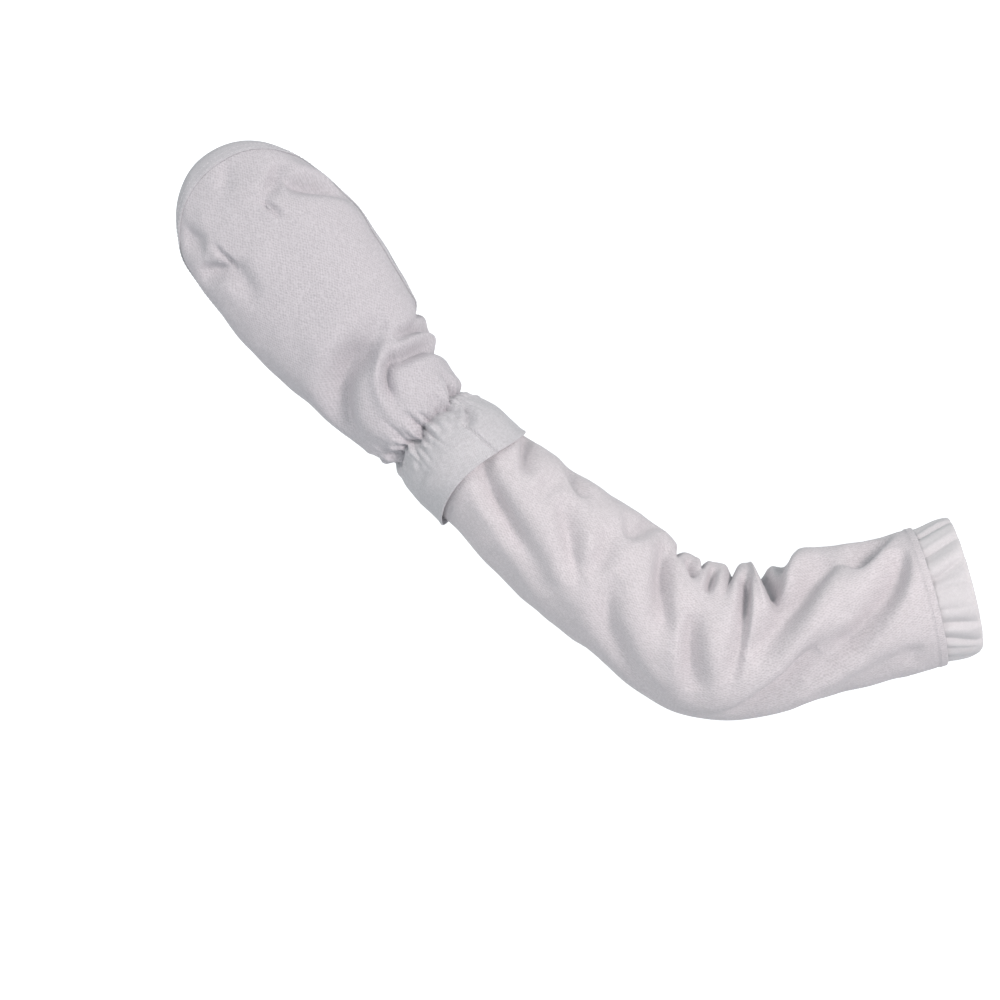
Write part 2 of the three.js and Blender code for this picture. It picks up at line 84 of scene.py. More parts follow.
# Tape round the palm opening, its tail, and the loop for the middle finger
TAPE_WIDTH = 9
TAPE_EDGE = 0.6
TAIL_WIDTH = 7
TAIL_SLANT = 9
TAIL_MARGIN = 1.5
TAIL_END_GAP = 1.0
TAIL_LIFT = 0.25
LOOP_AT = 547
LOOP_CENTRE_ACROSS = -7.5
LOOP_HALF_SPAN = 20
LOOP_HEIGHT = 17
LOOP_WIDTH = 9
LOOP_TAB = 5
LOOP_TAB_GAP = 0.6
LOOP_LIFT = 0.2
LOOP_FULLNESS = 0.8
STRAP_ROUNDING = 0.35

# Stitches: their length, the gap between two, the thread, the form of a grain ring by ring, its sides'
# sizes on the flat cloth, and how far the rows lie from the edges
STITCH_LENGTH = 2.1
STITCH_GAP = 0.6
THREAD = 0.42
GRAIN_SIDES = 5
GRAIN_SWELL = np.array([0.25, 0.85, 1.0, 0.85, 0.25])
GRAIN_RISE = np.array([-0.3, 0.1, 0.2, 0.1, -0.3])
GRAIN_FLAT = (0.26, 0.5)
TAPE_STITCH_ROWS = (0.9, 3.6)
HEM_STITCH_INSET = 1.9
CUFF_STITCH_INSET = 18

# Half sizes of the cloth from the arm line, at places along it
Section = namedtuple("Section", "along crook elbow back palm")


def tube(along, crook, elbow, deep):
    """A section that reaches as far towards the palm's side as towards the back's."""
    return Section(along, crook, elbow, deep, deep)


BAND_SECTIONS = [
    tube(0, 43.2, 41.0, 40.2),
    tube(2, 43.5, 42.6, 40.8),
    tube(7, 43.4, 43.8, 41.0),
    tube(14, 42.4, 43.8, 40.6),
    tube(20, 41.3, 43.4, 40.2),
    tube(27, 41.0, 43.0, 40.0),
]
SLEEVE_SECTIONS = [
    tube(20, 42.9, 45.0, 41.9),
    tube(40, 41.8, 45.4, 41.5),
    tube(70, 41.8, 45.0, 41.0),
    tube(90, 45.5, 44.8, 40.5),
    tube(120, 44.0, 45.8, 40.0),
    tube(150, 45.5, 49.7, 40.0),
    tube(170, 47.0, 48.2, 40.0),
    tube(190, 46.0, 43.6, 40.0),
    tube(213, 45.6, 38.2, 40.0),
    tube(230, 48.2, 39.7, 40.0),
    tube(255, 45.4, 41.2, 39.5),
    tube(280, 42.0, 40.5, 38.5),
    tube(305, 39.0, 38.6, 37.5),
    tube(328, 36.8, 35.6, 34.5),
    tube(340, 34.8, 35.2, 33.2),
    tube(360, 33.4, 33.6, 30.4),
    tube(372, 29.8, 30.0, 25.2),
    tube(383, 26.8, 26.8, 21.2),
]
CUFF_SECTIONS = [
    tube(332, 37.2, 39.2, 36.4),
    tube(345, 37.8, 38.6, 36.2),
    tube(360, 38.0, 38.0, 35.0),
    tube(370, 35.6, 36.0, 31.5),
    tube(378, 32.6, 32.6, 27.5),
    tube(384, 31.2, 31.2, 25.8),
]
COVER_SECTIONS = [
    Section(383, 31.2, 31.2, 25.8, 25.8),
    Section(396, 35.0, 35.7, 27.5, 26.5),
    Section(412, 37.0, 40.2, 28.0, 26.5),
    Section(428, 41.2, 43.2, 28.0, 26.0),
    Section(444, 44.2, 45.4, 27.5, 25.0),
    Section(468, 50.0, 50.2, 26.5, 23.0),
    Section(492, 53.4, 52.4, 25.0, 21.0),
    Section(516, 55.4, 52.4, 23.5, 19.0),
    Section(540, 52.8, 50.8, 20.5, 16.0),
    Section(556, 49.2, 49.2, 17.5, 13.0),
    Section(564, 46.8, 46.8, 15.8, 11.6),
    Section(572, 45.2, 43.6, 14.2, 10.6),
    Section(580, 44.6, 42.2, 12.8, 10.0),
    Section(588, 44.6, 41.0, 11.8, 9.6),
    Section(596, 45.0, 39.0, 11.0, 9.2),
    Section(603, 45.0, 38.0, 10.6, 9.0),
]

# How far the palm opening's rim turns round from the back of the hand, at distances from the gather line
RimTurn = namedtuple("RimTurn", "distance crook elbow")
RIM_TURN = [
    RimTurn(37, 180, 180),
    RimTurn(56, 118, 158),
    RimTurn(72, 98, 146),
    RimTurn(96, 93, 132),
    RimTurn(118, 95, 121),
    RimTurn(140, 106, 114),
    RimTurn(165, 110, 110),
    RimTurn(183, 108, 106),
    RimTurn(194, 98, 103),
    RimTurn(204, 88, 94),
    RimTurn(219, 80, 82),
]

# Valleys pressed into the cloth: each runs from a start through a middle to an end, given as millimetres
# along the arm line and degrees around it. crisp is 0 for a soft valley and 1 for a sharp crease. lean
# widens the valley's left side and narrows its right side, looking from the start to the end. A negative
# depth raises a ridge.
Fold = namedtuple("Fold", "name start middle end width depth crisp lean", defaults=(0.0, 0.0))
SLEEVE_FOLDS = [
    Fold("upper mouth dent", (42, 82), (53, 65), (68, 44), 9.0, 11.0, 0.0, 0.2),
    Fold("upper arm sweep", (35, 52), (54, 6), (112, -48), 9.0, 12.0, 0.0, 0.3),
    Fold("under arm crease", (38, -46), (58, -46), (98, -66), 9.0, 3.0, 0.0, -0.2),
    Fold("upper arm diagonal", (78, 64), (102, 29), (141, -14), 10.0, 14.0, 0.0, 0.15),
    Fold("second diagonal", (76, 13), (97, -9), (118, -23), 6.0, 3.0),
    Fold("lower arm diagonal", (78, -11), (113, -28), (155, -73), 9.0, 5.0, 0.0, -0.3),
    Fold("lower arm diagonal end", (100, -19), (124, -37), (152, -68), 8.0, 5.0, 0.0, -0.3),
    Fold("crook pocket", (103, 100), (108, 72), (116, 42), 7.5, 9.5, 0.1),
    Fold("crook pocket top", (106, 142), (106, 108), (107, 75), 7.5, 6.5),
    Fold("crook notch", (121, 106), (119.5, 65), (118.5, 23), 5.5, 17.0, 0.2, -0.4),
    Fold("crook notch back", (121, 152), (121, 118), (121, 84), 6.5, 7.0, 0.2),
    Fold("crook lobe 1", (136, 124), (135.5, 92), (136, 62), 6.0, -1.6),
    Fold("crook fold", (134, 62), (141, 21), (151, -30), 5.4, 7.2, 0.0, 0.4),
    Fold("crook fold depth", (134, 59), (137, 43), (141, 22), 4.4, 3.4, 0.0, 0.4),
    Fold("crook dip 1", (149, 122), (148.5, 84), (158, 39), 5.0, 6.5, 0.5),
    Fold("crook lobe 2", (164, 122), (164, 92), (164, 66), 7.5, -0.8),
    Fold("crook spot", (169, 70), (171, 55), (172, 38), 5.0, 7.0, 0.2),
    Fold("crook dip 2", (184, 125), (182, 88), (182, 62), 4.0, 6.0, 0.7),
    Fold("crook lobe 3", (198, 120), (198, 92), (198, 68), 7.5, -1.0),
    Fold("crook dip 3", (201, 70), (193, 61), (186, 52), 5.0, 6.0, 0.1),
    Fold("crook dip 4", (214, 125), (212, 90), (211, 62), 4.0, 5.0, 0.7),
    Fold("forearm fold 1", (226, 62), (210, 33), (191, -4), 7.5, 10.0, 0.0, 0.2),
    Fold("elbow cross fold", (179, 18), (174, -12), (167, -43), 6.5, 8.5, 0.0, -0.2),
    Fold("elbow hollow", (235, 9), (224, -23), (188, -61), 8.5, 6.0, 0.1),
    Fold("forearm nick", (238, 86), (242, 62), (246, 40), 6.0, 6.0, 0.15),
    Fold("forearm nick branch", (255, 66), (251, 53), (246, 42), 5.0, 2.4),
    Fold("forearm fold 2", (257, 38), (250, 12), (250, -6), 7.0, 6.0, 0.1),
    Fold("forearm fold 3", (293, 34), (273, 9), (250, -17), 7.5, 7.2, 0.1),
    Fold("forearm notch", (300, 88), (293, 66), (281, 50), 6.5, 6.8, 0.1),
    Fold("forearm notch branch", (300, 56), (303, 34), (302, 16), 6.5, 3.4),
    Fold("cuff dent", (348, 18), (324, -8), (290, -25), 8.0, 7.0, 0.1),
    Fold("cuff long fold", (330, -5), (298, -21), (258, -43), 10.5, 4.2),
    Fold("forearm ridge", (328, -30), (297, -50), (250, -84), 9.0, 1.6),
    Fold("cuff nick", (333, 86), (327, 55), (318, 29), 5.5, 7.4, 0.2),
    Fold("palm side upper 1", (42, 130), (57, 170), (85, 215), 8.0, 2.6, 0.1),
    Fold("palm side upper 2", (62, 118), (90, 160), (130, 212), 7.5, 3.4, 0.1),
    Fold("palm side crook", (124, 128), (130, 160), (152, 214), 6.0, 4.6, 0.3),
    Fold("palm side elbow", (184, 124), (176, 160), (167, 222), 6.5, 3.4, 0.2),
    Fold("palm side fore 1", (226, 112), (206, 160), (184, 216), 7.5, 3.4, 0.1),
    Fold("palm side fore 2", (264, 118), (246, 160), (214, 212), 7.5, 3.0, 0.1),
    Fold("palm side fore 3", (312, 120), (286, 170), (250, 222), 8.0, 3.0, 0.1),
]
CUFF_FOLDS = [
    Fold("cuff hook", (366, 26), (368, 40), (379, 55), 3.4, 4.0, 0.2),
    Fold("cuff side line", (361, -68), (364, -48), (365, -32), 3.0, 1.0, 0.3),
]
COVER_FOLDS = [
    Fold("wrist hook top", (421, 76), (424, 42), (427, 12), 5.0, 9.4, 0.1),
    Fold("wrist hook end", (429, 24), (425, 6), (410, -4), 4.5, 6.6, 0.4),
    Fold("wrist ridge", (447, 38), (432, 5), (405, -17), 4.5, -3.4, 0.2),
    Fold("wrist hollow", (447, 33), (442.5, -16), (411, -66), 11.0, 6.6),
    Fold("wrist hollow top", (447, 38), (441, 10), (440, -22), 5.5, 3.0),
    Fold("wrist hollow low", (441, 12), (441, -28), (409, -70), 8.5, 7.0),
    Fold("thumb crease", (428, 98), (435, 58), (437, 30), 4.5, 8.0, 0.1),
    Fold("thumb notch 1", (416, 125), (416, 88), (419, 60), 5.0, 4.4, 0.5),
    Fold("thumb notch 2", (443, 115), (442, 88), (438, 62), 4.5, 4.4, 0.5),
    Fold("loop tack 1", (555, 15), (548, 16), (540, 17.5), 2.2, 3.4),
    Fold("loop tack 2", (553, -34), (544, -33), (534, -31.5), 2.2, 2.6),
    Fold("finger fold 1", (566, 52), (561, 36), (556, 18), 5.0, 5.5),
    Fold("finger fold 2", (529, 84), (544, 58), (555, 38), 7.5, 9.2, 0.0, -0.1),
    Fold("finger fold 3", (569, -66), (563, -52), (556, -42), 8.0, 5.4),
    Fold("finger fold 4", (545, -66), (540, -48), (535, -31), 6.5, 6.4, 0.1),
    Fold("finger fold 5", (536, -33), (526, -33), (510, -34), 7.0, 3.4),
    Fold("finger fold 6", (590, 24), (583, 10), (574, -3), 6.0, 2.4),
]
BAND_FOLDS = [
    Fold("band crease 1", (27, 62), (14, 66), (-2, 72), 3.5, 2.4, 0.4, 0.3),
    Fold("band crease 2", (27, 36), (14, 41), (-2, 47), 4.0, 3.0, 0.4, 0.3),
    Fold("band crease 3", (27, 12), (14, 18), (-2, 26), 4.0, 3.0, 0.4, 0.3),
    Fold("band crease 4", (27, 4), (14, 4), (3, 4), 3.0, 1.6, 0.3),
    Fold("band crease 5", (27, -24), (14, -27), (-2, -33), 4.0, 2.6, 0.4, -0.3),
    Fold("band crease 6", (27, -38), (14, -45), (-2, -57), 4.0, 2.6, 0.4, -0.3),
]
FOLD_STEPS = 40
FOLD_MARGIN = 6
MEAN_RADIUS = 43
SWELL = 0.28
SWELL_REACH = 2.3
CREASE_FALL = 1.6

# Where the sleeve's folds set in, past the band that it lies on
FOLDS_FROM = (BAND_END - 1, BAND_END + 13)

# Hems, seams and the slight unevenness of the cloth, with the stretches where they set in or end
HEM_RISE = 0.25
HEM_EASE = 1.5
HEM_GROOVE = 0.15
HEM_GROOVE_WIDTH = 0.9
SEAM_DEPTH = 0.6
SEAM_WIDTH = 1.2
CUFF_ROLL = 0.6
CUFF_ROLL_WIDTH = 2.2
CUFF_SEAM_DEPTH = 1.3
CUFF_SEAM_WIDTH = 1.3
SLEEVE_RUMPLE = 0.35
COVER_RUMPLE = 0.3
CUFF_RUMPLE = 0.22
SLEEVE_RUMPLE_FROM = (30, 45)
SLEEVE_RUMPLE_TO = (325, 340)
COVER_RUMPLE_FROM = (390, 420)
SLEEVE_GATHERS_FROM = (364, 376)
CUFF_SEAM_TO = (366, 369)
RUMPLE_WAVES = 26
SEEDS = {"sleeve": 3, "cover": 5, "cuff": 8, "gathers": 21}

# Gathers drawn in by the wrist's elastic, and ribs of the upper band
LOBES = 11
LOBE_DEPTH = 3.6
LOBE_REACH = 6
LOBE_REACH_MORE_ON_HAND = 9
PUCKERS = 29
PUCKER_DEPTH = 2.9
PUCKER_REACH = 11
PINCH_DEPTH = 4.0
PINCH_REACH = 2.6
CRINKLE = 0.9
CRINKLE_REACH = 13
CRINKLE_LENGTHS = (5, 13)
GATHER_SWAY = 1.8
GATHER_SWAY_REACH = 9
RIBS = 22
RIB_DEPTH = 1.2
RIB_FAN = 0.24


def columns_at(rows, at):
    """A table's columns at places along its first one: between two rows each value eases from one to the
    other and is bent by the rows' mean slopes (a cubic Hermite curve through the rows)."""
    table = np.array(rows, float)
    keys = table[:, 0]
    last = len(keys) - 1
    low = np.clip(np.searchsorted(keys, at, side="right") - 1, 0, last - 1)
    high = low + 1
    before, after = np.maximum(np.arange(last + 1) - 1, 0), np.minimum(np.arange(last + 1) + 1, last)
    slopes = (table[after] - table[before]) / (keys[after] - keys[before])[:, None]
    span = (keys[high] - keys[low])[..., None]
    t = np.clip((at - keys[low])[..., None] / span, 0, 1)
    eased = t * t * (3 - 2 * t)
    bend = (slopes[low] * (1 - t) - slopes[high] * t) * span * t * (1 - t)
    values = table[low] * (1 - eased) + table[high] * eased + bend
    return dict(zip(rows[0]._fields, np.moveaxis(values, -1, 0)))


def arm_frame(along):
    """Centre of the arm line and the directions towards the crook and ahead: each stretch, straight or an
    arc, is walked by its chord, which points half way through the stretch's turn."""
    heading = np.full(np.shape(along), np.radians(START_HEADING))
    centre = np.zeros(np.shape(along) + (3,))
    left = np.array(along, float)
    for stretch in ARM_LINE:
        walked = np.clip(left, 0, stretch.length)
        turn = np.radians(stretch.turn) * walked / stretch.length
        chord = walked * np.sinc(turn / (2 * np.pi))
        centre[..., 0] += chord * np.cos(heading + turn / 2)
        centre[..., 2] += chord * np.sin(heading + turn / 2)
        heading = heading + turn
        left = left - stretch.length
    still = np.zeros_like(heading)
    crook = np.stack([np.sin(heading), still, -np.cos(heading)], -1)
    ahead = np.stack([np.cos(heading), still, np.sin(heading)], -1)
    return centre, crook, ahead


def fold_press(folds, along, around):
    """How far the cloth is pressed in. Each fold is a parabola through its three places on the unrolled
    cloth. Across it lies a valley, part bell and part sharp crease, between two low swells, and its depth
    fades out to both ends as the root of a sine. The nearest place on the parabola is the nearest of its
    even steps, moved along the step's own direction."""
    press = np.zeros(np.shape(along))
    steps = np.linspace(0, 1, FOLD_STEPS)
    arc = np.radians(1) * MEAN_RADIUS
    for fold in folds:
        first, second, third = np.array([fold.start, fold.middle, fold.end]) * (1, arc)
        bow, slope = 2 * (first - 2 * second + third), 4 * second - 3 * first - third
        line = first + steps[:, None] * slope + steps[:, None] ** 2 * bow
        margin = FOLD_MARGIN * fold.width
        near = (along > line[:, 0].min() - margin) & (along < line[:, 0].max() + margin)
        turned = (around[near] - fold.middle[1] + 180) % 360 - 180 + fold.middle[1]
        place = np.stack([along[near], turned * arc], -1)
        nearest = ((place[:, None] - line) ** 2).sum(-1).argmin(1)
        t = steps[nearest]
        ahead = slope + 2 * t[:, None] * bow
        offset = place - line[nearest]
        t = np.clip(t + (offset * ahead).sum(-1) / (ahead**2).sum(-1), 0, 1)
        offset = place - (first + t[:, None] * slope + t[:, None] ** 2 * bow)
        apart = np.hypot(offset[:, 0], offset[:, 1])
        side = ahead[:, 0] * offset[:, 1] - ahead[:, 1] * offset[:, 0]
        side = side / (np.hypot(ahead[:, 0], ahead[:, 1]) * apart + 1e-9)
        away = apart / (fold.width * (1 + fold.lean * side))
        fade = np.sqrt(np.sin(np.pi * (0.01 + 0.98 * t)))
        valley = (1 - fold.crisp) * np.exp(-(away**2)) + fold.crisp * np.exp(-CREASE_FALL * away)
        swell = SWELL * np.exp(-((away / SWELL_REACH) ** 2))
        press[near] += fold.depth * fade * (valley - swell) / (1 - SWELL)
    return press


def rumple(along, around, seed, height, short=14, long=40):
    """A slight unevenness of the whole cloth: a sum of waves between the given lengths, each a whole number
    of times round the arm, with seeded directions and phases."""
    draw = np.random.default_rng(seed)
    turn = np.radians(around)
    total = np.zeros(np.shape(along))
    for _ in range(RUMPLE_WAVES):
        length = draw.uniform(short, long)
        slant = draw.uniform(0, np.pi)
        times = np.round(2 * np.pi * MEAN_RADIUS * np.cos(slant) / length)
        phase = draw.uniform(0, 2 * np.pi)
        total += np.cos(times * turn + 2 * np.pi * np.sin(slant) / length * along + phase)
    return height * total / np.sqrt(RUMPLE_WAVES)


def puckers(along, around):
    """Gathers at the wrist: rounded lobes with narrow valleys, the absolute sine of an uneven phase round
    the wrist, reaching far out on the hand's side. Finer puckers and crinkles lie on both sides, and the
    elastic draws the cloth into a groove at the line itself."""
    turn = np.radians(around)
    away = along - GATHER_LINE
    hand = step(away, -4, 4)
    wide = np.abs(np.sin(LOBES / 2 * turn + 0.9 * np.sin(2 * turn + 0.4) + 0.5 * np.sin(5 * turn + 1.7)))
    far = LOBE_REACH + LOBE_REACH_MORE_ON_HAND * hand
    lobes = LOBE_DEPTH * (wide - 0.7) * np.exp(-((away / far) ** 2))
    drift = 0.05 * away * np.sin(5 * turn + 0.8)
    strayed = 1.5 * np.sin(2 * turn) + 1.2 * np.sin(5 * turn + 1.7) + drift
    narrow = np.abs(np.sin(PUCKERS / 2 * turn + strayed))
    uneven = 0.95 + 0.4 * np.sin(3 * turn + 2.0) * np.cos(8 * turn)
    reach = 0.85 + 0.5 * np.sin(4 * turn + 1.0) * np.cos(9 * turn + 0.6)
    reach = PUCKER_REACH * reach * (1 - 0.35 * hand)
    fine = PUCKER_DEPTH * uneven * (narrow - 0.8) * np.exp(-((away / reach) ** 2))
    crinkles = rumple(along, around, SEEDS["gathers"], CRINKLE, *CRINKLE_LENGTHS)
    crinkles = crinkles * np.exp(-((away / CRINKLE_REACH) ** 2))
    return lobes + fine + crinkles - PINCH_DEPTH * np.exp(-((away / PINCH_REACH) ** 2))


def gather_sway(along, around):
    """How far the gathered cloth is drawn along the arm near the gather line: two waves round the wrist
    that fade out as a bell on both sides."""
    turn = np.radians(around)
    sway = np.sin(7 * turn + 0.5) + 0.6 * np.sin(13 * turn + 2.0)
    return GATHER_SWAY * sway * np.exp(-(((along - GATHER_LINE) / GATHER_SWAY_REACH) ** 2))


def step(value, start, end):
    """0 before start, 1 after end, and a smooth rise between them."""
    t = np.clip((value - start) / (end - start), 0, 1)
    return t * t * (3 - 2 * t)


def sleeve_relief(along, around):
    """The turned hem at the sleeve's upper end, its stitched groove, the seam along the inside of the arm,
    the gathers at the wrist, and the rumple between them."""
    hem = HEM_RISE * (1 - step(along, HEM_END - HEM_EASE, HEM_END))
    groove = HEM_GROOVE * np.exp(-(((along - HEM_END) / HEM_GROOVE_WIDTH) ** 2))
    free = step(along, *SLEEVE_RUMPLE_FROM) * (1 - step(along, *SLEEVE_RUMPLE_TO))
    seam = SEAM_DEPTH * np.exp(-((((around - SEAM_TURN + 180) % 360 - 180) / SEAM_WIDTH) ** 2))
    drawn = step(along, *SLEEVE_GATHERS_FROM) * puckers(along, around)
    uneven = free * rumple(along, around, SEEDS["sleeve"], SLEEVE_RUMPLE)
    return hem - groove - seam + drawn + uneven


def band_relief(along, around):
    """Ribs of the elastic band that fan out towards its outer edge, uneven round the arm: the absolute
    sine of the angle, drawn together towards the sleeve."""
    turn = np.radians(around)
    fanned = turn - RIB_FAN * np.sin(turn) * (1 - along / BAND_END)
    phase = RIBS / 2 * fanned + 0.9 * np.sin(3 * turn) + 0.5 * np.sin(7 * turn + 1.0)
    uneven = 0.65 + 0.45 * np.sin(2 * turn + 0.9) * np.cos(3 * turn)
    return RIB_DEPTH * uneven * (np.abs(np.sin(phase)) - 0.7) * step(along, 0, 9)


def cuff_relief(along, around):
    """The cuff's rolled hem, its closing seam on the back of the wrist, and the gathers."""
    roll = CUFF_ROLL * np.exp(-(((along - cuff_hem(around)) / CUFF_ROLL_WIDTH) ** 2))
    seam = CUFF_SEAM_DEPTH * np.exp(-(((around - CUFF_SEAM_TURN) / CUFF_SEAM_WIDTH) ** 2))
    seam = seam * (1 - step(along, *CUFF_SEAM_TO))
    return roll - seam + puckers(along, around) + rumple(along, around, SEEDS["cuff"], CUFF_RUMPLE)


def cover_relief(along, around):
    """The gathers at the wrist and the slight unevenness of the hand cover."""
    uneven = rumple(along, around, SEEDS["cover"], COVER_RUMPLE)
    return puckers(along, around) + step(along, *COVER_RUMPLE_FROM) * uneven


Cloth = namedtuple("Cloth", "sections folds relief")
BAND = Cloth(BAND_SECTIONS, BAND_FOLDS, band_relief)
SLEEVE = Cloth(SLEEVE_SECTIONS, SLEEVE_FOLDS, sleeve_relief)
CUFF = Cloth(CUFF_SECTIONS, CUFF_FOLDS, cuff_relief)
COVER = Cloth(COVER_SECTIONS, COVER_FOLDS, cover_relief)


def cuff_hem(around):
    """Where the cuff's free hem lies along the arm: it bows towards the hand on the back of the wrist."""
    return CUFF_HEM + CUFF_HEM_BOW * np.maximum(np.cos(np.radians(around - CUFF_BOW_TURN)), 0) ** 2


def tip_round(cloth, along):
    """How the hand cover narrows to the rounded finger tips: a quarter ellipse along the hand."""
    if cloth is not COVER:
        return 1.0
    span = GATHER_LINE + SEAM_GAP + COVER_LENGTH + 0.02 - TIP_START
    return np.sqrt(np.maximum(1 - (np.maximum(along - TIP_START, 0) / span) ** 2, 1e-8))


def cloth_points(cloth, along, around):
    """Points on a cloth's outer face: an oval of four quarter ellipses square to the arm line, raised by
    the cloth's relief, pressed in by its folds and drawn to and fro at the gather line. The sleeve's
    folds fade out where it lies on the band."""
    along, around = np.broadcast_arrays(np.asarray(along, float), np.asarray(around, float))
    centre, crook, ahead = arm_frame(along)
    half = columns_at(cloth.sections, along)
    tip = tip_round(cloth, along)
    sine, cosine = np.sin(np.radians(around)), np.cos(np.radians(around))
    press = fold_press(cloth.folds, along, around)
    if cloth is SLEEVE:
        press = press * step(along, *FOLDS_FROM)
    raised = cloth.relief(along, around) - press
    wide = (np.where(sine > 0, half["crook"], half["elbow"]) + raised) * tip * sine
    deep = (np.where(cosine > 0, half["back"], half["palm"]) + raised) * tip * cosine
    points = centre + crook * wide[..., None] + ahead * gather_sway(along, around)[..., None]
    points[..., 1] -= deep
    return points


def unit(vectors):
    """The same directions with a length of 1."""
    return vectors / np.linalg.norm(vectors, axis=-1, keepdims=True)


def raised_points(cloth, along, around, height):
    """Points at a height above a cloth's outer face, along its outward direction, which is square to the
    slopes along and around the arm."""
    small = 0.4
    points = cloth_points(cloth, along, around)
    lengthwise = cloth_points(cloth, along + small, around) - cloth_points(cloth, along - small, around)
    crosswise = cloth_points(cloth, along, around + small) - cloth_points(cloth, along, around - small)
    normals = unit(np.cross(crosswise, lengthwise))
    return points + normals * np.asarray(height, float)[..., None], normals


def grid_normals(points):
    """Outward directions of a grid that closes on itself in its second direction: square to the central
    differences along both directions."""
    lengthwise = np.gradient(points, axis=0)
    crosswise = np.roll(points, -1, 1) - np.roll(points, 1, 1)
    return unit(np.cross(crosswise, lengthwise))


def rounded_wall(outer, thickness):
    """Rings of a wall of cloth: out along the outer face, over a half-round end, back along the inner
    face, and over the other half-round end. The second list says which rings lie inside."""
    normals = grid_normals(outer)
    inner = outer - normals * thickness
    rings, inside = list(outer), [False] * len(outer)
    for face, sign in ((-1, 1), (0, -1)):
        middle = (outer[face] + inner[face]) / 2
        spoke = (outer[face] - inner[face]) / 2
        ahead = unit(outer[face] - outer[face - sign]) * thickness / 2
        turns = np.radians([45, 90, 135])[:: sign]
        rim = [middle + spoke * np.cos(a) + ahead * np.sin(a) for a in turns]
        rings += rim
        inside += [True] * len(rim)
        if face == -1:
            rings += list(inner[::-1])
            inside += [True] * len(inner)
    return np.array(rings), np.array(inside)


def place_in_scene(name, data):
    """A new object at the origin that holds the given mesh, camera or light."""
    made = bpy.data.objects.new(name, data)
    bpy.context.scene.collection.objects.link(made)
    return made


def new_piece(name, points, quads, uv, materials, inside=None):
    """A mesh object at the origin from points in millimetres, four-cornered faces that are turned to face
    out, and a place on the flat cloth, in metres, for each face corner."""
    corner = points[quads]
    volume = np.einsum("ij,ij->", corner[:, 0], np.cross(corner[:, 1], corner[:, 2]))
    volume += np.einsum("ij,ij->", corner[:, 0], np.cross(corner[:, 2], corner[:, 3]))
    if volume < 0:
        quads, uv = quads[:, ::-1], uv[:, ::-1]
    mesh = bpy.data.meshes.new(name)
    mesh.from_pydata((points * MM).tolist(), [], quads.tolist())
    layer = mesh.uv_layers.new(name="flat_cloth")
    layer.data.foreach_set("uv", np.ascontiguousarray(uv * MM, np.float32).ravel())
    mesh.polygons.foreach_set("use_smooth", np.ones(len(quads), bool))
    for material in materials:
        mesh.materials.append(material)
    if inside is not None:
        mesh.polygons.foreach_set("material_index", inside.astype(np.int32))
    mesh.update()
    return place_in_scene(name, mesh)


def ring_quads(rings, columns, joined):
    """Corner numbers of the faces between neighbouring rings, whose columns close on themselves. The last
    ring joins the first where the rings are joined."""
    i, j = np.meshgrid(np.arange(rings if joined else rings - 1), np.arange(columns), indexing="ij")
    up, right = (i + 1) % rings, (j + 1) % columns
    quads = np.stack([i * columns + j, i * columns + right, up * columns + right, up * columns + j], -1)
    return quads.reshape(-1, 4)


def ring_uv(flat, joined):
    """Flat places of the same faces' corners, from a grid of places that has one column past the last."""
    rings, columns = flat.shape[0], flat.shape[1] - 1
    i, j = np.meshgrid(np.arange(rings if joined else rings - 1), np.arange(columns), indexing="ij")
    up = (i + 1) % rings
    return np.stack([flat[i, j], flat[i, j + 1], flat[up, j + 1], flat[up, j]], -2).reshape(-1, 4, 2)


def wall_piece(name, outer, flat, thickness, outside, lining):
    """A closed wall of cloth with its outer face on the given grid. flat holds each point's place on the
    flat cloth, across and along it, with one column past the last."""
    rings, inside = rounded_wall(outer, thickness)
    count, columns = rings.shape[:2]
    flat = np.concatenate([flat, flat[[-1] * 3], flat[::-1], flat[[0] * 3]])
    shade = np.repeat(inside, columns)
    quads = ring_quads(count, columns, True)
    return new_piece(name, rings.reshape(-1, 3), quads, ring_uv(flat, True), [outside, lining], shade)


def walked_along(path):
    """The distance walked from a path's first point to each of its points."""
    return np.concatenate([[0], np.cumsum(np.linalg.norm(np.diff(path, axis=0), axis=-1))])


def tube_flat(along, around):
    """Flat places of a tube's points: the arc round a mean radius, and the distance along."""
    closed = np.concatenate([around, around[..., :1] + 360], -1)
    across, lengthwise = np.broadcast_arrays(np.radians(closed) * MEAN_RADIUS, along[:, :1])
    return np.stack([across, lengthwise], -1)


def angles(coarse, fine_at, fine_width, fine_step):
    """Angles round the arm: an even step, and a finer one across a narrow seam."""
    even = np.arange(0, 360, coarse)
    apart = np.abs((even - fine_at + 180) % 360 - 180)
    fine = np.arange(fine_at - fine_width, fine_at + fine_width, fine_step)
    return np.unique(np.concatenate([even[apart > fine_width + coarse / 2], fine % 360]))


# Pieces of the sleeve


def make_sleeve(materials):
    """The arm's tube: rows lie close at the crook, and wide under the cuff."""
    along = np.concatenate([np.linspace(SLEEVE_START, 32, 14), np.arange(33.3, 98, 1.35),
                            np.arange(98, 160, 0.75), np.arange(160, 343, 1.4),
                            np.linspace(346, GATHER_LINE - SEAM_GAP, 9)])[:, None]
    around = angles(2.2, SEAM_TURN, 4.5, 0.75)[None, :]
    outer = cloth_points(SLEEVE, along, around)
    return wall_piece("arm_sleeve_knit", outer, tube_flat(along, around), SLEEVE_WALL, *materials)


def make_band(materials):
    """The elastic band at the mouth, with a rounded outer edge."""
    along = np.concatenate([np.linspace(0, 4, 10), np.linspace(4.6, BAND_END, 26)])[:, None]
    around = np.arange(0, 360, 1.0)[None, :]
    outer = cloth_points(BAND, along, around)
    return wall_piece("top_elastic_band", outer, tube_flat(along, around), BAND_WALL, *materials)


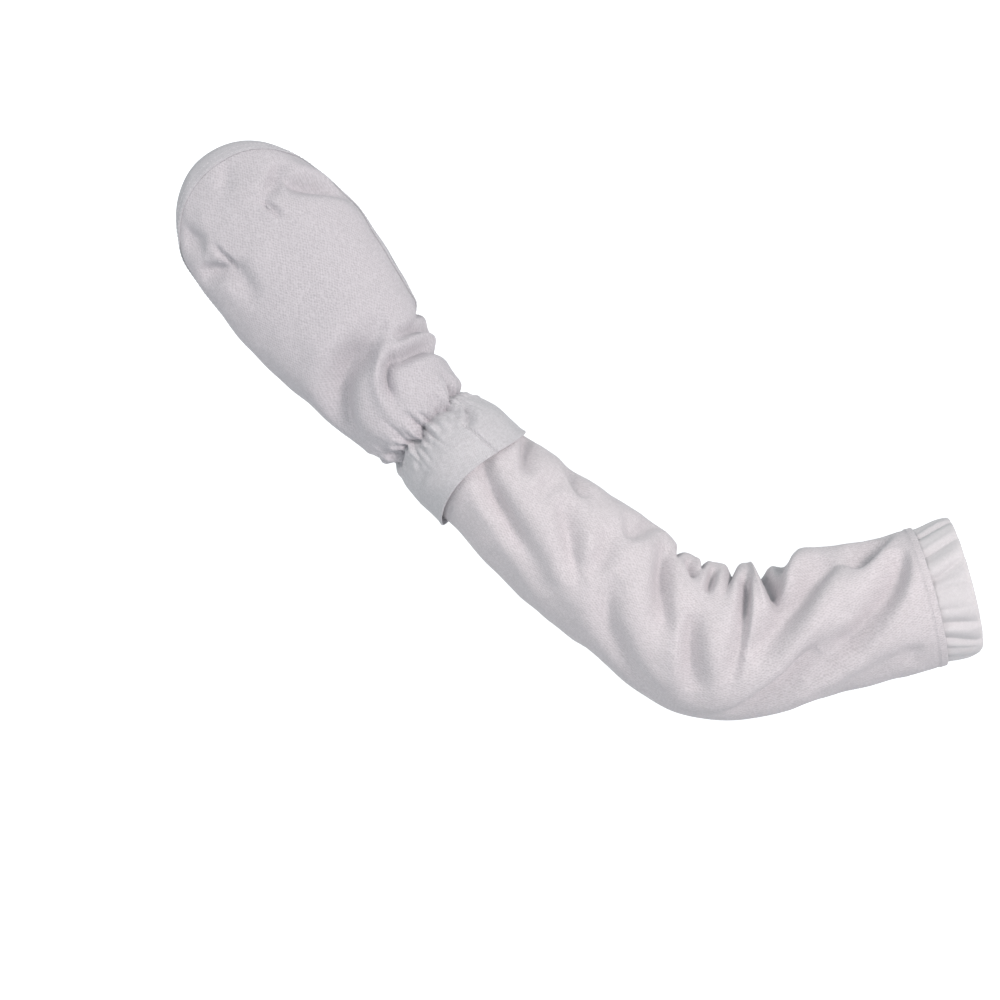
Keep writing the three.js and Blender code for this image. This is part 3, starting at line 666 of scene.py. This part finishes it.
def make_cuff(materials):
    """The turned-up cuff, from its bowed hem to the gather line."""
    share = np.concatenate([np.linspace(0, 0.1, 10), np.linspace(0.115, 1, 60)])[:, None]
    around = angles(1.0, CUFF_SEAM_TURN, 4.0, 0.4)[None, :]
    hem = cuff_hem(around)
    along = hem + (GATHER_LINE - hem) * share
    outer = cloth_points(CUFF, along, np.broadcast_to(around, along.shape))
    flat = tube_flat(CUFF_HEM + (GATHER_LINE - CUFF_HEM) * share, around)
    return wall_piece("turned_wrist_cuff", outer, flat, CUFF_WALL, *materials)


def side_value(table, sweep):
    """The thumb side's column of a table where sweep is positive, and the little finger's elsewhere."""
    return np.where(sweep < 0, table["elbow"], table["crook"])


def half_width(distance, sweep):
    """The hand cover's half width on the sweep's side, at a distance from the gather line."""
    along = GATHER_LINE + SEAM_GAP + distance
    return side_value(columns_at(COVER_SECTIONS, along), sweep) * tip_round(COVER, along)


def rim_places(sweep):
    """The palm opening's rim on the unrolled hand cover: the distance from the gather line swings as a
    cosine of the sweep, 0 at the finger tips and 1 or -1 at the palm seam, and the distance across is the
    half width times the rim's turn in quarter circles."""
    middle = (COVER_LENGTH + PALM_NOTCH) / 2
    distance = middle + (COVER_LENGTH - middle) * np.cos(np.pi * sweep)
    turn = side_value(columns_at(RIM_TURN, distance), sweep)
    across = np.sign(sweep) * half_width(distance, sweep) * turn / 90
    return np.stack([distance, across], -1)


def inset_places(sweep, inset):
    """Places moved in from the rim, square to it, and straight along the palm seam at its corner."""
    small = 0.02
    run = rim_places(np.minimum(sweep + small, 1)) - rim_places(np.maximum(sweep - small, -1))
    run = unit(run)
    inward = np.stack([-run[..., 1], run[..., 0]], -1)
    corner = step(np.abs(sweep), 0.8, 1)[..., None]
    inward = unit(inward * (1 - corner) + np.array([-1.0, 0.0]) * corner)
    return rim_places(sweep) + inward * np.asarray(inset, float)[..., None]


def cover_stations(places, sweep, seam_places):
    """Distances along the arm and angles around it of flat places on the hand cover. Near the palm seam
    the angle is drawn out so that both sides meet at 180."""
    turn = 90 * places[..., 1] / np.maximum(half_width(places[..., 0], sweep), 0.01)
    seam_turn = 90 * seam_places[..., 1] / half_width(seam_places[..., 0], sweep)
    drawn = turn * (1 + (180 / np.abs(seam_turn) - 1) * np.abs(sweep) ** 6)
    return GATHER_LINE + SEAM_GAP + places[..., 0], drawn


def inset_stations(sweep, inset):
    """Distances along the arm and angles around it of places moved in from the rim."""
    sweep, inset = np.broadcast_arrays(np.asarray(sweep, float), np.asarray(inset, float))
    seam = np.where(sweep < 0, -1.0, 1.0)
    return cover_stations(inset_places(sweep, inset), sweep, inset_places(seam, inset))


def rim_surface(sweep, inset):
    """Points and outward directions of the hand cover near its rim. The directions are square to the
    slopes along the rim and in from it. Beyond the rim the cloth is drawn on straight."""
    small, inside = 0.5, np.maximum(inset, 0)

    def at(place, distance):
        return cloth_points(COVER, *inset_stations(place, distance))

    points = at(sweep, inside)
    inward = unit(at(sweep, inside + small) - points)
    turn = 0.004
    run = at((sweep + turn + 1) % 2 - 1, inside) - at((sweep - turn + 1) % 2 - 1, inside)
    return points + inward * np.minimum(inset, 0)[..., None], unit(np.cross(inward, run))


def make_cover(materials):
    """The hand cover: rows run from the gather line out to the rim, closer where the cloth is creased, and
    its columns lie closer towards the finger tips."""
    even = np.linspace(-1, 1, 301)[None, :]
    sweep = even - 0.4 * np.sin(np.pi * even) / np.pi
    reach = np.concatenate([np.linspace(0, 0.12, 22), np.linspace(0.127, 0.32, 34),
                            np.linspace(0.33, 0.66, 26), np.linspace(0.667, 0.82, 30),
                            np.linspace(0.83, 1, 20)])[:, None]
    sweep, reach = np.broadcast_arrays(sweep, reach)
    seam = np.where(sweep < 0, -1.0, 1.0)

    def ray(at):
        start = np.stack([np.zeros_like(at), 2 * at * half_width(np.zeros_like(at), at)], -1)
        return start + (inset_places(at, np.zeros_like(at)) - start) * reach[..., None]

    places = ray(sweep)
    outer = cloth_points(COVER, *cover_stations(places, sweep, ray(seam)))[:, :-1]
    return wall_piece("hand_cover_knit", outer, places[..., ::-1], COVER_WALL, *materials)


def tape_profile():
    """The folded tape's section as insets and heights: two legs on the cloth's faces, rounded at the fold
    by half circles about the cloth's edge."""
    inner_top, inner_low = SEAM_GAP, -COVER_WALL - SEAM_GAP
    outer_top, outer_low = inner_top + TAPE_WALL, inner_low - TAPE_WALL
    turn = np.radians(np.linspace(90, -90, 9))
    middle = (inner_top + inner_low) / 2
    inner = [(-np.cos(a) * (inner_top - middle), middle + np.sin(a) * (inner_top - middle)) for a in turn]
    outer = [(-np.cos(a) * (outer_top - middle), middle + np.sin(a) * (outer_top - middle)) for a in turn]
    legs_in = np.linspace(TAPE_WIDTH, 0.5, 7)
    edge = TAPE_WIDTH + TAPE_EDGE
    ring = [(x, inner_top) for x in legs_in] + inner + [(x, inner_low) for x in legs_in[::-1]]
    ring += [(edge, inner_low - TAPE_WALL * 0.2), (edge - 0.1, inner_low - TAPE_WALL * 0.6)]
    ring += [(x, outer_low) for x in legs_in] + outer[::-1] + [(x, outer_top) for x in legs_in[::-1]]
    ring += [(edge - 0.1, inner_top + TAPE_WALL * 0.6), (edge, inner_top + TAPE_WALL * 0.2)]
    return np.array(ring)


def make_binding(material):
    """The tape over the palm opening's rim: its section carried round the rim."""
    profile = tape_profile()
    sweep, inset = np.broadcast_arrays(np.linspace(-1, 1, 421)[None, :], profile[:, :1])
    points, out = rim_surface(sweep, inset)
    rings = (points + out * profile[:, 1:, None])[:, :-1]
    count, columns = rings.shape[:2]
    wound, walked = walked_along(profile), walked_along(points[0])
    flat = np.stack(np.broadcast_arrays(wound[:, None], walked[None, :]), -1)
    quads = ring_quads(count, columns, True)
    return new_piece("palm_edge_binding", rings.reshape(-1, 3), quads, ring_uv(flat, True), [material])


def strap(name, path, sides, thickness, width, material):
    """A flat strap with rounded edges: an oblong section carried along a path. sides holds the directions
    across the strap and out of its face at each point of the path."""
    across, out = sides
    turn = np.linspace(0, 2 * np.pi, 20, endpoint=False)
    x = np.sign(np.cos(turn)) * np.abs(np.cos(turn)) ** STRAP_ROUNDING * width / 2
    y = np.sign(np.sin(turn)) * np.abs(np.sin(turn)) ** STRAP_ROUNDING * thickness / 2
    rings = path[:, None] + across[:, None] * x[None, :, None] + out[:, None] * y[None, :, None]
    count, columns = rings.shape[:2]

    def shrunk(end, share):
        middle = rings[[end]].mean(1, keepdims=True)
        return middle + (rings[[end]] - middle) * share

    rings = np.concatenate([shrunk(0, 0.02), shrunk(0, 0.6), rings, shrunk(-1, 0.6), shrunk(-1, 0.02)])
    count += 4
    across = np.concatenate([x, x[:1]])
    walked = walked_along(path)
    walked = np.concatenate([[0, 0], walked, [walked[-1]] * 2])
    flat = np.stack(np.broadcast_arrays(across[None, :], walked[:, None]), -1)
    quads = np.concatenate([ring_quads(count, columns, False), end_quads(0, columns, True),
                            end_quads((count - 1) * columns, columns, False)])
    sides = ring_uv(flat, False)
    caps = np.zeros((len(quads) - len(sides), 4, 2))
    return new_piece(name, rings.reshape(-1, 3), quads, np.concatenate([sides, caps]), [material])


def end_quads(first, columns, turned):
    """Four-cornered faces that close an even ring of points, zigzagging across it."""
    low = np.arange(columns // 2 - 1)
    quads = np.stack([low, low + 1, columns - 2 - low, columns - 1 - low], -1) + first
    return quads[:, ::-1] if turned else quads


def make_tail(material):
    """The tape's free end, lying beside the palm seam from the notch to the gather line."""
    t = np.linspace(0, 1, 24)
    along = GATHER_LINE + TAIL_MARGIN + t * (PALM_NOTCH - TAPE_WIDTH - TAIL_END_GAP)
    around = -180 + TAIL_SLANT * (1 - t)
    height = np.full_like(t, TAPE_WALL / 2 + TAIL_LIFT)
    path, out = raised_points(COVER, along, around, height)
    ahead = unit(np.gradient(path, axis=0))
    sides = unit(np.cross(ahead, out)), out
    return strap("binding_tail_tape", path, sides, TAPE_WALL, TAIL_WIDTH, material)


def make_loop(material):
    """The finger loop: a half-ellipse arch square to the hand, with a flat tab at each foot that lies on
    the inside of the hand cover."""
    centre, crook, ahead = arm_frame(np.array(float(LOOP_AT)))

    def foot(n):
        half = half_width(np.full_like(n, LOOP_AT - GATHER_LINE), n)
        around = np.degrees(np.arcsin(n / half))
        place, _ = raised_points(COVER, np.full_like(n, LOOP_AT), around, np.full_like(n, -COVER_WALL))
        return place[:, 1] + LOOP_WALL / 2 + LOOP_LIFT

    angle = np.linspace(0, np.pi, 60)
    arch = LOOP_CENTRE_ACROSS + LOOP_HALF_SPAN * np.cos(angle)
    feet = foot(LOOP_CENTRE_ACROSS + LOOP_HALF_SPAN * np.array([1.0, -1.0]))
    base = feet[0] + (feet[1] - feet[0]) * angle / np.pi
    arch_y = base + LOOP_HEIGHT * np.sin(angle) ** LOOP_FULLNESS
    tab = np.linspace(LOOP_TAB, LOOP_TAB_GAP, 8)
    first = arch[0] + tab
    last = arch[-1] - tab[::-1]
    n = np.concatenate([first, arch, last])
    y = np.concatenate([foot(first), arch_y, foot(last)])
    path = centre + crook * n[:, None]
    path[:, 1] = y
    run = unit(np.gradient(path, axis=0))
    across = np.broadcast_to(ahead, run.shape)
    sides = across, unit(np.cross(run, across))
    return strap("middle_finger_loop", path, sides, LOOP_WALL, LOOP_WIDTH, material)


def stitch_row(path, out):
    """Corner points of a row of stitches, spaced evenly along a path. Each is a grain of rings, thickest in
    the middle and sunk into the cloth at both ends."""
    walked = walked_along(path)
    middles = np.arange(STITCH_LENGTH, walked[-1] - STITCH_LENGTH / 2, STITCH_LENGTH + STITCH_GAP)
    places = middles[:, None] + np.linspace(-0.5, 0.5, len(GRAIN_SWELL)) * STITCH_LENGTH

    def at_places(values):
        return np.stack([np.interp(places, walked, values[:, k]) for k in range(3)], -1)

    centre = at_places(path)
    lift = unit(at_places(out))
    ahead = unit(np.gradient(centre, axis=1))
    side = np.cross(ahead, lift)
    radius = THREAD / 2 * GRAIN_SWELL
    rise = THREAD * GRAIN_RISE
    turn = np.linspace(0, 2 * np.pi, GRAIN_SIDES, endpoint=False)
    ring = side[:, :, None] * np.cos(turn)[:, None] + lift[:, :, None] * np.sin(turn)[:, None]
    return (centre + lift * rise[:, None])[:, :, None] + ring * radius[:, None, None]


def make_stitches(name, rows, material):
    """One mesh of all the stitches in the given rows. Each corner has its place round and along the
    thread."""
    grains = np.concatenate(rows)
    rings = len(GRAIN_SWELL)
    size = rings * GRAIN_SIDES
    first = np.arange(len(grains))[:, None] * size
    ring = np.arange(GRAIN_SIDES)
    faces = (first[:, None] + ring_quads(rings, GRAIN_SIDES, False)).reshape(-1, 4).tolist()
    faces += (first + ring[::-1]).tolist() + (first + size - GRAIN_SIDES + ring).tolist()
    mesh = bpy.data.meshes.new(name)
    mesh.from_pydata((grains.reshape(-1, 3) * MM).tolist(), [], faces)
    corners = np.empty(len(mesh.loops), np.int32)
    mesh.loops.foreach_get("vertex_index", corners)
    flat = np.stack([corners % GRAIN_SIDES, corners % size // GRAIN_SIDES], -1) * GRAIN_FLAT * MM
    mesh.uv_layers.new(name="flat_cloth").data.foreach_set("uv", flat.astype(np.float32).ravel())
    mesh.polygons.foreach_set("use_smooth", np.ones(len(mesh.polygons), bool))
    mesh.materials.append(material)
    mesh.update()
    return place_in_scene(name, mesh)


def tape_stitches(inset, inside):
    """A row of stitches round the tape, at a distance from the rim, on its outer or inner leg."""
    sweep = np.linspace(-1, 1, 900)
    path, out = rim_surface(sweep, np.full_like(sweep, inset))
    top = SEAM_GAP + TAPE_WALL
    height = -COVER_WALL - top if inside else top
    return stitch_row(path + out * height, -out if inside else out)


def ring_stitches(cloth, along_of):
    """A row of stitches round a tube of cloth."""
    around = np.linspace(0, 360, 700)
    path, out = raised_points(cloth, along_of(around), around, np.zeros_like(around))
    return stitch_row(path, out)


# Materials


def linear(colour):
    """A six-digit sRGB hex colour as linear red, green, blue and alpha."""
    share = np.array([int(colour[i : i + 2], 16) for i in (0, 2, 4)]) / 255
    low, high = share / 12.92, ((share + 0.055) / 1.055) ** 2.4
    return (*np.where(share <= 0.04045, low, high), 1.0)


def node(tree, kind, settings=None, **inputs):
    """Adds a node, sets its properties, and fills its inputs by name or number with values or links."""
    made = tree.nodes.new(kind)
    for key, value in (settings or {}).items():
        setattr(made, key, value)
    for key, value in inputs.items():
        socket = made.inputs[int(key[1:])] if key[0] == "_" else made.inputs[key.replace("_", " ")]
        if isinstance(value, bpy.types.NodeSocket):
            tree.links.new(value, socket)
        else:
            socket.default_value = value
    return made


# Noise in the cloth, by the number of its patches in a millimetre: 0.19 makes them about 5 mm wide
Noise = namedtuple("Noise", "use per_mm detail")
CLOTH_NOISE = [
    Noise("sway of the rows", 0.19, 2.0),
    Noise("clear and blurred eyelets", 0.42, 1.0),
    # Flecks of random tone, partly painted glints of the yarn
    Noise("specks_and_glints", 0.8, 2.0),
    Noise("uneven tone", 0.045, 3.0),
    Noise("nap", 1.8, 2.0),
]
SHEEN = 0.04


def cloth_material(name, colour, shade, course, wale, relief, roughness):
    """A knitted cloth: staggered eyelets, the product of two sines on the flat cloth, course and wale
    millimetres apart, sunk and painted a little darker as painted shade in the holes, swayed and broken
    up by noise, over a faint uneven tone and flecks that are partly painted glints of the yarn."""
    material = bpy.data.materials.new(name)
    material.use_nodes = True
    tree = material.node_tree
    tree.nodes.clear()
    place = node(tree, "ShaderNodeTexCoord").outputs["Object"]
    noise = {}
    for use, per_mm, detail in CLOTH_NOISE:
        noise[use] = node(tree, "ShaderNodeTexNoise", Vector=place, Scale=per_mm / MM, Detail=detail).outputs
    flat = node(tree, "ShaderNodeUVMap", {"uv_map": "flat_cloth"}).outputs["UV"]
    reach = 4 * wale * MM
    swayed = node(tree, "ShaderNodeVectorMath", {"operation": "MULTIPLY_ADD"},
                  _0=noise["sway of the rows"]["Color"], _1=(reach, reach, 0.0), _2=flat).outputs[0]
    parts = node(tree, "ShaderNodeSeparateXYZ", _0=swayed).outputs
    waves = []
    for axis, pitch in (("X", wale), ("Y", course)):
        angle = node(tree, "ShaderNodeMath", {"operation": "MULTIPLY"}, _0=parts[axis],
                     _1=np.pi / (pitch * MM)).outputs[0]
        waves.append(node(tree, "ShaderNodeMath", {"operation": "SINE"}, _0=angle).outputs[0])
    mesh = node(tree, "ShaderNodeMath", {"operation": "MULTIPLY"}, _0=waves[0], _1=waves[1]).outputs[0]
    eyelets = node(tree, "ShaderNodeMapRange", {"interpolation_type": "SMOOTHSTEP"}, _0=mesh, _1=-0.35,
                   _2=0.9).outputs[0]
    clear = node(tree, "ShaderNodeMapRange", _0=noise["clear and blurred eyelets"][0], _1=0.3, _2=0.7,
                 _3=0.2, _4=1.0).outputs[0]
    marks = node(tree, "ShaderNodeMath", {"operation": "MULTIPLY"}, _0=eyelets, _1=clear).outputs[0]
    # Flecks of random tone, lighter where the noise is low: partly painted glints of the yarn
    specks_and_glints = node(tree, "ShaderNodeMapRange", _0=noise["specks_and_glints"][0], _1=0.36, _2=0.64, _4=0.5).outputs[0]
    uneven = node(tree, "ShaderNodeMath", {"operation": "MULTIPLY_ADD"}, _0=noise["uneven tone"][0],
                  _1=0.25, _2=specks_and_glints).outputs[0]
    # The tone mixes the colour towards the shade colour: the eyelets give painted shade in the knit's holes,
    # the specks give flecks that are partly painted glints of the yarn, and the noise gives a random uneven
    # tone.
    tone = node(tree, "ShaderNodeMath", {"operation": "ADD"}, _0=uneven, _1=marks).outputs[0]
    paint = node(tree, "ShaderNodeMix", {"data_type": "RGBA"}, _0=tone, _6=linear(colour),
                 _7=linear(shade)).outputs[2]
    knit = node(tree, "ShaderNodeBump", {"invert": True}, Strength=0.6, Distance=relief * MM, Height=marks)
    nap = node(tree, "ShaderNodeBump", Strength=0.25, Distance=0.08 * MM, Height=noise["nap"][0],
               Normal=knit.outputs[0])
    skin = node(tree, "ShaderNodeBsdfPrincipled", Base_Color=paint, Roughness=roughness,
                Normal=nap.outputs[0], Sheen_Weight=SHEEN, Sheen_Roughness=0.45, Specular_IOR_Level=0.25)
    node(tree, "ShaderNodeOutputMaterial", Surface=skin.outputs[0])
    return material


def stage_material(name, colour, glow, near, far):
    """Matt pale studio paper. Behind the object it is lit from within, more and more between two depths,
    so that the backdrop stays plain white."""
    material = bpy.data.materials.new(name)
    material.use_nodes = True
    tree = material.node_tree
    skin = tree.nodes["Principled BSDF"]
    skin.inputs["Base Color"].default_value = linear(colour)
    skin.inputs["Roughness"].default_value = 0.9
    skin.inputs["Emission Color"].default_value = linear("FFFFFF")
    place = node(tree, "ShaderNodeTexCoord").outputs["Object"]
    depth = node(tree, "ShaderNodeSeparateXYZ", _0=place).outputs["Y"]
    lit = node(tree, "ShaderNodeMapRange", {"interpolation_type": "SMOOTHSTEP"}, _0=depth, _1=near, _2=far,
               _4=glow)
    tree.links.new(lit.outputs[0], skin.inputs["Emission Strength"])
    return material


# Camera, lights and stage

PHOTO_SCALE = 0.62
PHOTO_PIXELS = 1000
PHOTO_SIDE = PHOTO_PIXELS * PHOTO_SCALE * MM
CAMERA_DISTANCE = 2.2
PHOTO_CENTRE = (-0.2877, 0.0527)
SENSOR = 36
FLOOR = -0.34


def make_camera():
    """The photograph's view: level, along +Y, its width matching the picture at the arm line."""
    data = bpy.data.cameras.new("photo_camera")
    data.sensor_width = SENSOR
    data.lens = SENSOR * CAMERA_DISTANCE / PHOTO_SIDE
    camera = place_in_scene("photo_camera", data)
    camera.location = (PHOTO_CENTRE[0], -CAMERA_DISTANCE, PHOTO_CENTRE[1])
    camera.rotation_euler = (np.pi / 2, 0, 0)
    bpy.context.scene.camera = camera


def make_light(name, place, size, power, colour):
    """A square soft light that faces the middle of the sleeve."""
    data = bpy.data.lights.new(name, "AREA")
    data.size = size
    data.energy = power
    data.color = linear(colour)[:3]
    light = place_in_scene(name, data)
    light.location = place
    aim = Vector((PHOTO_CENTRE[0], 0, PHOTO_CENTRE[1])) - light.location
    light.rotation_euler = aim.to_track_quat("-Z", "Y").to_euler()


def make_stage():
    """A floor that sweeps up into a backdrop: level, then a quarter circle, then upright, along X."""
    radius, depth, height, half = 0.8, 3.6, 4.0, 4.0
    turn = np.radians(np.linspace(-90, 0, 16))
    bend = np.stack([depth - radius + radius * np.cos(turn), FLOOR + radius + radius * np.sin(turn)], -1)
    line = np.concatenate([[[-half, FLOOR]], bend, [[depth, height]]])
    x = np.array([[-half], [half]])
    points = np.stack(np.broadcast_arrays(x, line[:, 0], line[:, 1]), -1)
    low = np.arange(len(line) - 1)
    quads = np.stack([low, low + len(line), low + len(line) + 1, low + 1], -1)
    mesh = bpy.data.meshes.new("studio_sweep")
    mesh.from_pydata(points.reshape(-1, 3).tolist(), [], quads.tolist())
    mesh.polygons.foreach_set("use_smooth", np.ones(len(quads), bool))
    mesh.materials.append(stage_material("studio_paper", "EAEAEC", glow=0.5, near=0.1, far=0.55))
    mesh.update()
    sweep = place_in_scene("studio_sweep", mesh)


def make_world(brightness, colour):
    """Even light from all round, a little cooler than the side lights."""
    world = bpy.data.worlds.new("studio_air")
    world.use_nodes = True
    world.node_tree.nodes["Background"].inputs["Color"].default_value = linear(colour)
    world.node_tree.nodes["Background"].inputs["Strength"].default_value = brightness
    bpy.context.scene.world = world


def attach(piece, nodes):
    """Rides a piece on the part's one body, in place of the given frame nodes."""
    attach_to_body(piece, "root")
    if nodes:
        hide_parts(*nodes)


make_camera()
make_stage()
make_world(brightness=0.52, colour="EFFEFE")
make_light("right_light", place=(1.2, -1.85, 0.75), size=0.8, power=39, colour="FFF3F1")
make_light("left_light", place=(-1.9, -1.7, 1.5), size=0.8, power=21.5, colour="FFF3F1")
make_light("low_light", place=(-1.6, -2.0, -0.6), size=0.9, power=5.5, colour="F0FCFF")
bpy.context.scene.view_settings.view_transform = "Standard"

# Fine dull eyelets, longer along the arm, give the eye an open, matt sports knit with faint lengthwise
# rows. Real ones lie about half a millimetre apart, too fine to show, so they are drawn up to four times as
# coarse.
# Each knit's second colour is mixed in three ways: as painted shade in its eyelets, as flecks that are
# partly painted glints, and as a random uneven tone.
knit = cloth_material("polyester_mesh_knit", "CFCBCF", "B9B5B9",
                      course=1.9, wale=0.8, relief=0.2, roughness=0.9)
# Over the hand the same knit hangs smooth, painted a shade darker than on the arm: painted shade for the
# dimmer light over the hand and its finger tips.
cover_knit = cloth_material("polyester_mesh_knit_cover_painted_shade", "C6C3C8", "B0ADB2",
                            course=1.5, wale=0.65, relief=0.2, roughness=0.9)
# The cuff shows the knit's other face, a shade cooler and greyer than the sleeve.
cuff_knit = cloth_material("polyester_mesh_knit_cuff", "C7C6CA", "B2B1B5",
                           course=1.5, wale=0.65, relief=0.2, roughness=0.9)
# Close pale loops give the eye a smooth stretch band, lighter than the knit.
band_knit = cloth_material("covered_elastic_knit", "CDCBCE", "C2C0C3",
                           course=0.6, wale=0.6, relief=0.08, roughness=0.9)
# The knit's inside looks smooth and slightly satin, with hardly any eyelets.
lining = cloth_material("smooth_knit_lining", "C6C4C8", "BAB8BC",
                        course=0.6, wale=0.6, relief=0.05, roughness=0.8)
# Tightly woven tape looks flat and a step darker than the cloth it edges.
tape = cloth_material("folded_binding_tape", "BDBCC0", "ADACB1",
                      course=0.6, wale=0.6, relief=0.06, roughness=0.85)
# Raised cords across a strap give the eye a ribbed elastic.
elastic = cloth_material("ribbed_loop_elastic", "BDBCC0", "A6A5AA",
                         course=0.5, wale=1.1, relief=0.2, roughness=0.8)
# Slightly shiny twisted thread makes the tape's stitches stand out as pale dashes.
thread = cloth_material("polyester_thread", "CFCED2", "C4C3C8",
                        course=0.4, wale=0.4, relief=0.03, roughness=0.7)
# Thread dyed like the knit sinks into it, so the hems look plain.
hem_thread = cloth_material("polyester_thread_hem", "C6C4C8", "BAB8BC",
                            course=0.4, wale=0.4, relief=0.03, roughness=0.7)

sleeve = make_sleeve([knit, lining])
band = make_band([band_knit, band_knit])
cuff = make_cuff([cuff_knit, cuff_knit])
cover = make_cover([cover_knit, lining])
binding = make_binding(tape)
tail = make_tail(tape)
loop = make_loop(elastic)
binding_stitches = make_stitches("binding_stitches", [
    tape_stitches(TAPE_WIDTH - row, inside) for inside in (False, True) for row in TAPE_STITCH_ROWS
], thread)
hem_stitches = make_stitches("hem_stitches", [
    ring_stitches(SLEEVE, lambda around: np.full_like(around, HEM_END - HEM_STITCH_INSET)),
    ring_stitches(CUFF, lambda around: cuff_hem(around) + CUFF_STITCH_INSET),
], hem_thread)

attach(sleeve, ["sleeve"])
attach(band, ["top_band"])
attach(cuff, ["wrist_cuff"])
attach(cover, ["hand_cover"])
attach(binding, ["edge_binding"])
attach(tail, ["binding_tail"])
attach(loop, ["finger_loop"])
attach(binding_stitches, [])
attach(hem_stitches, [])
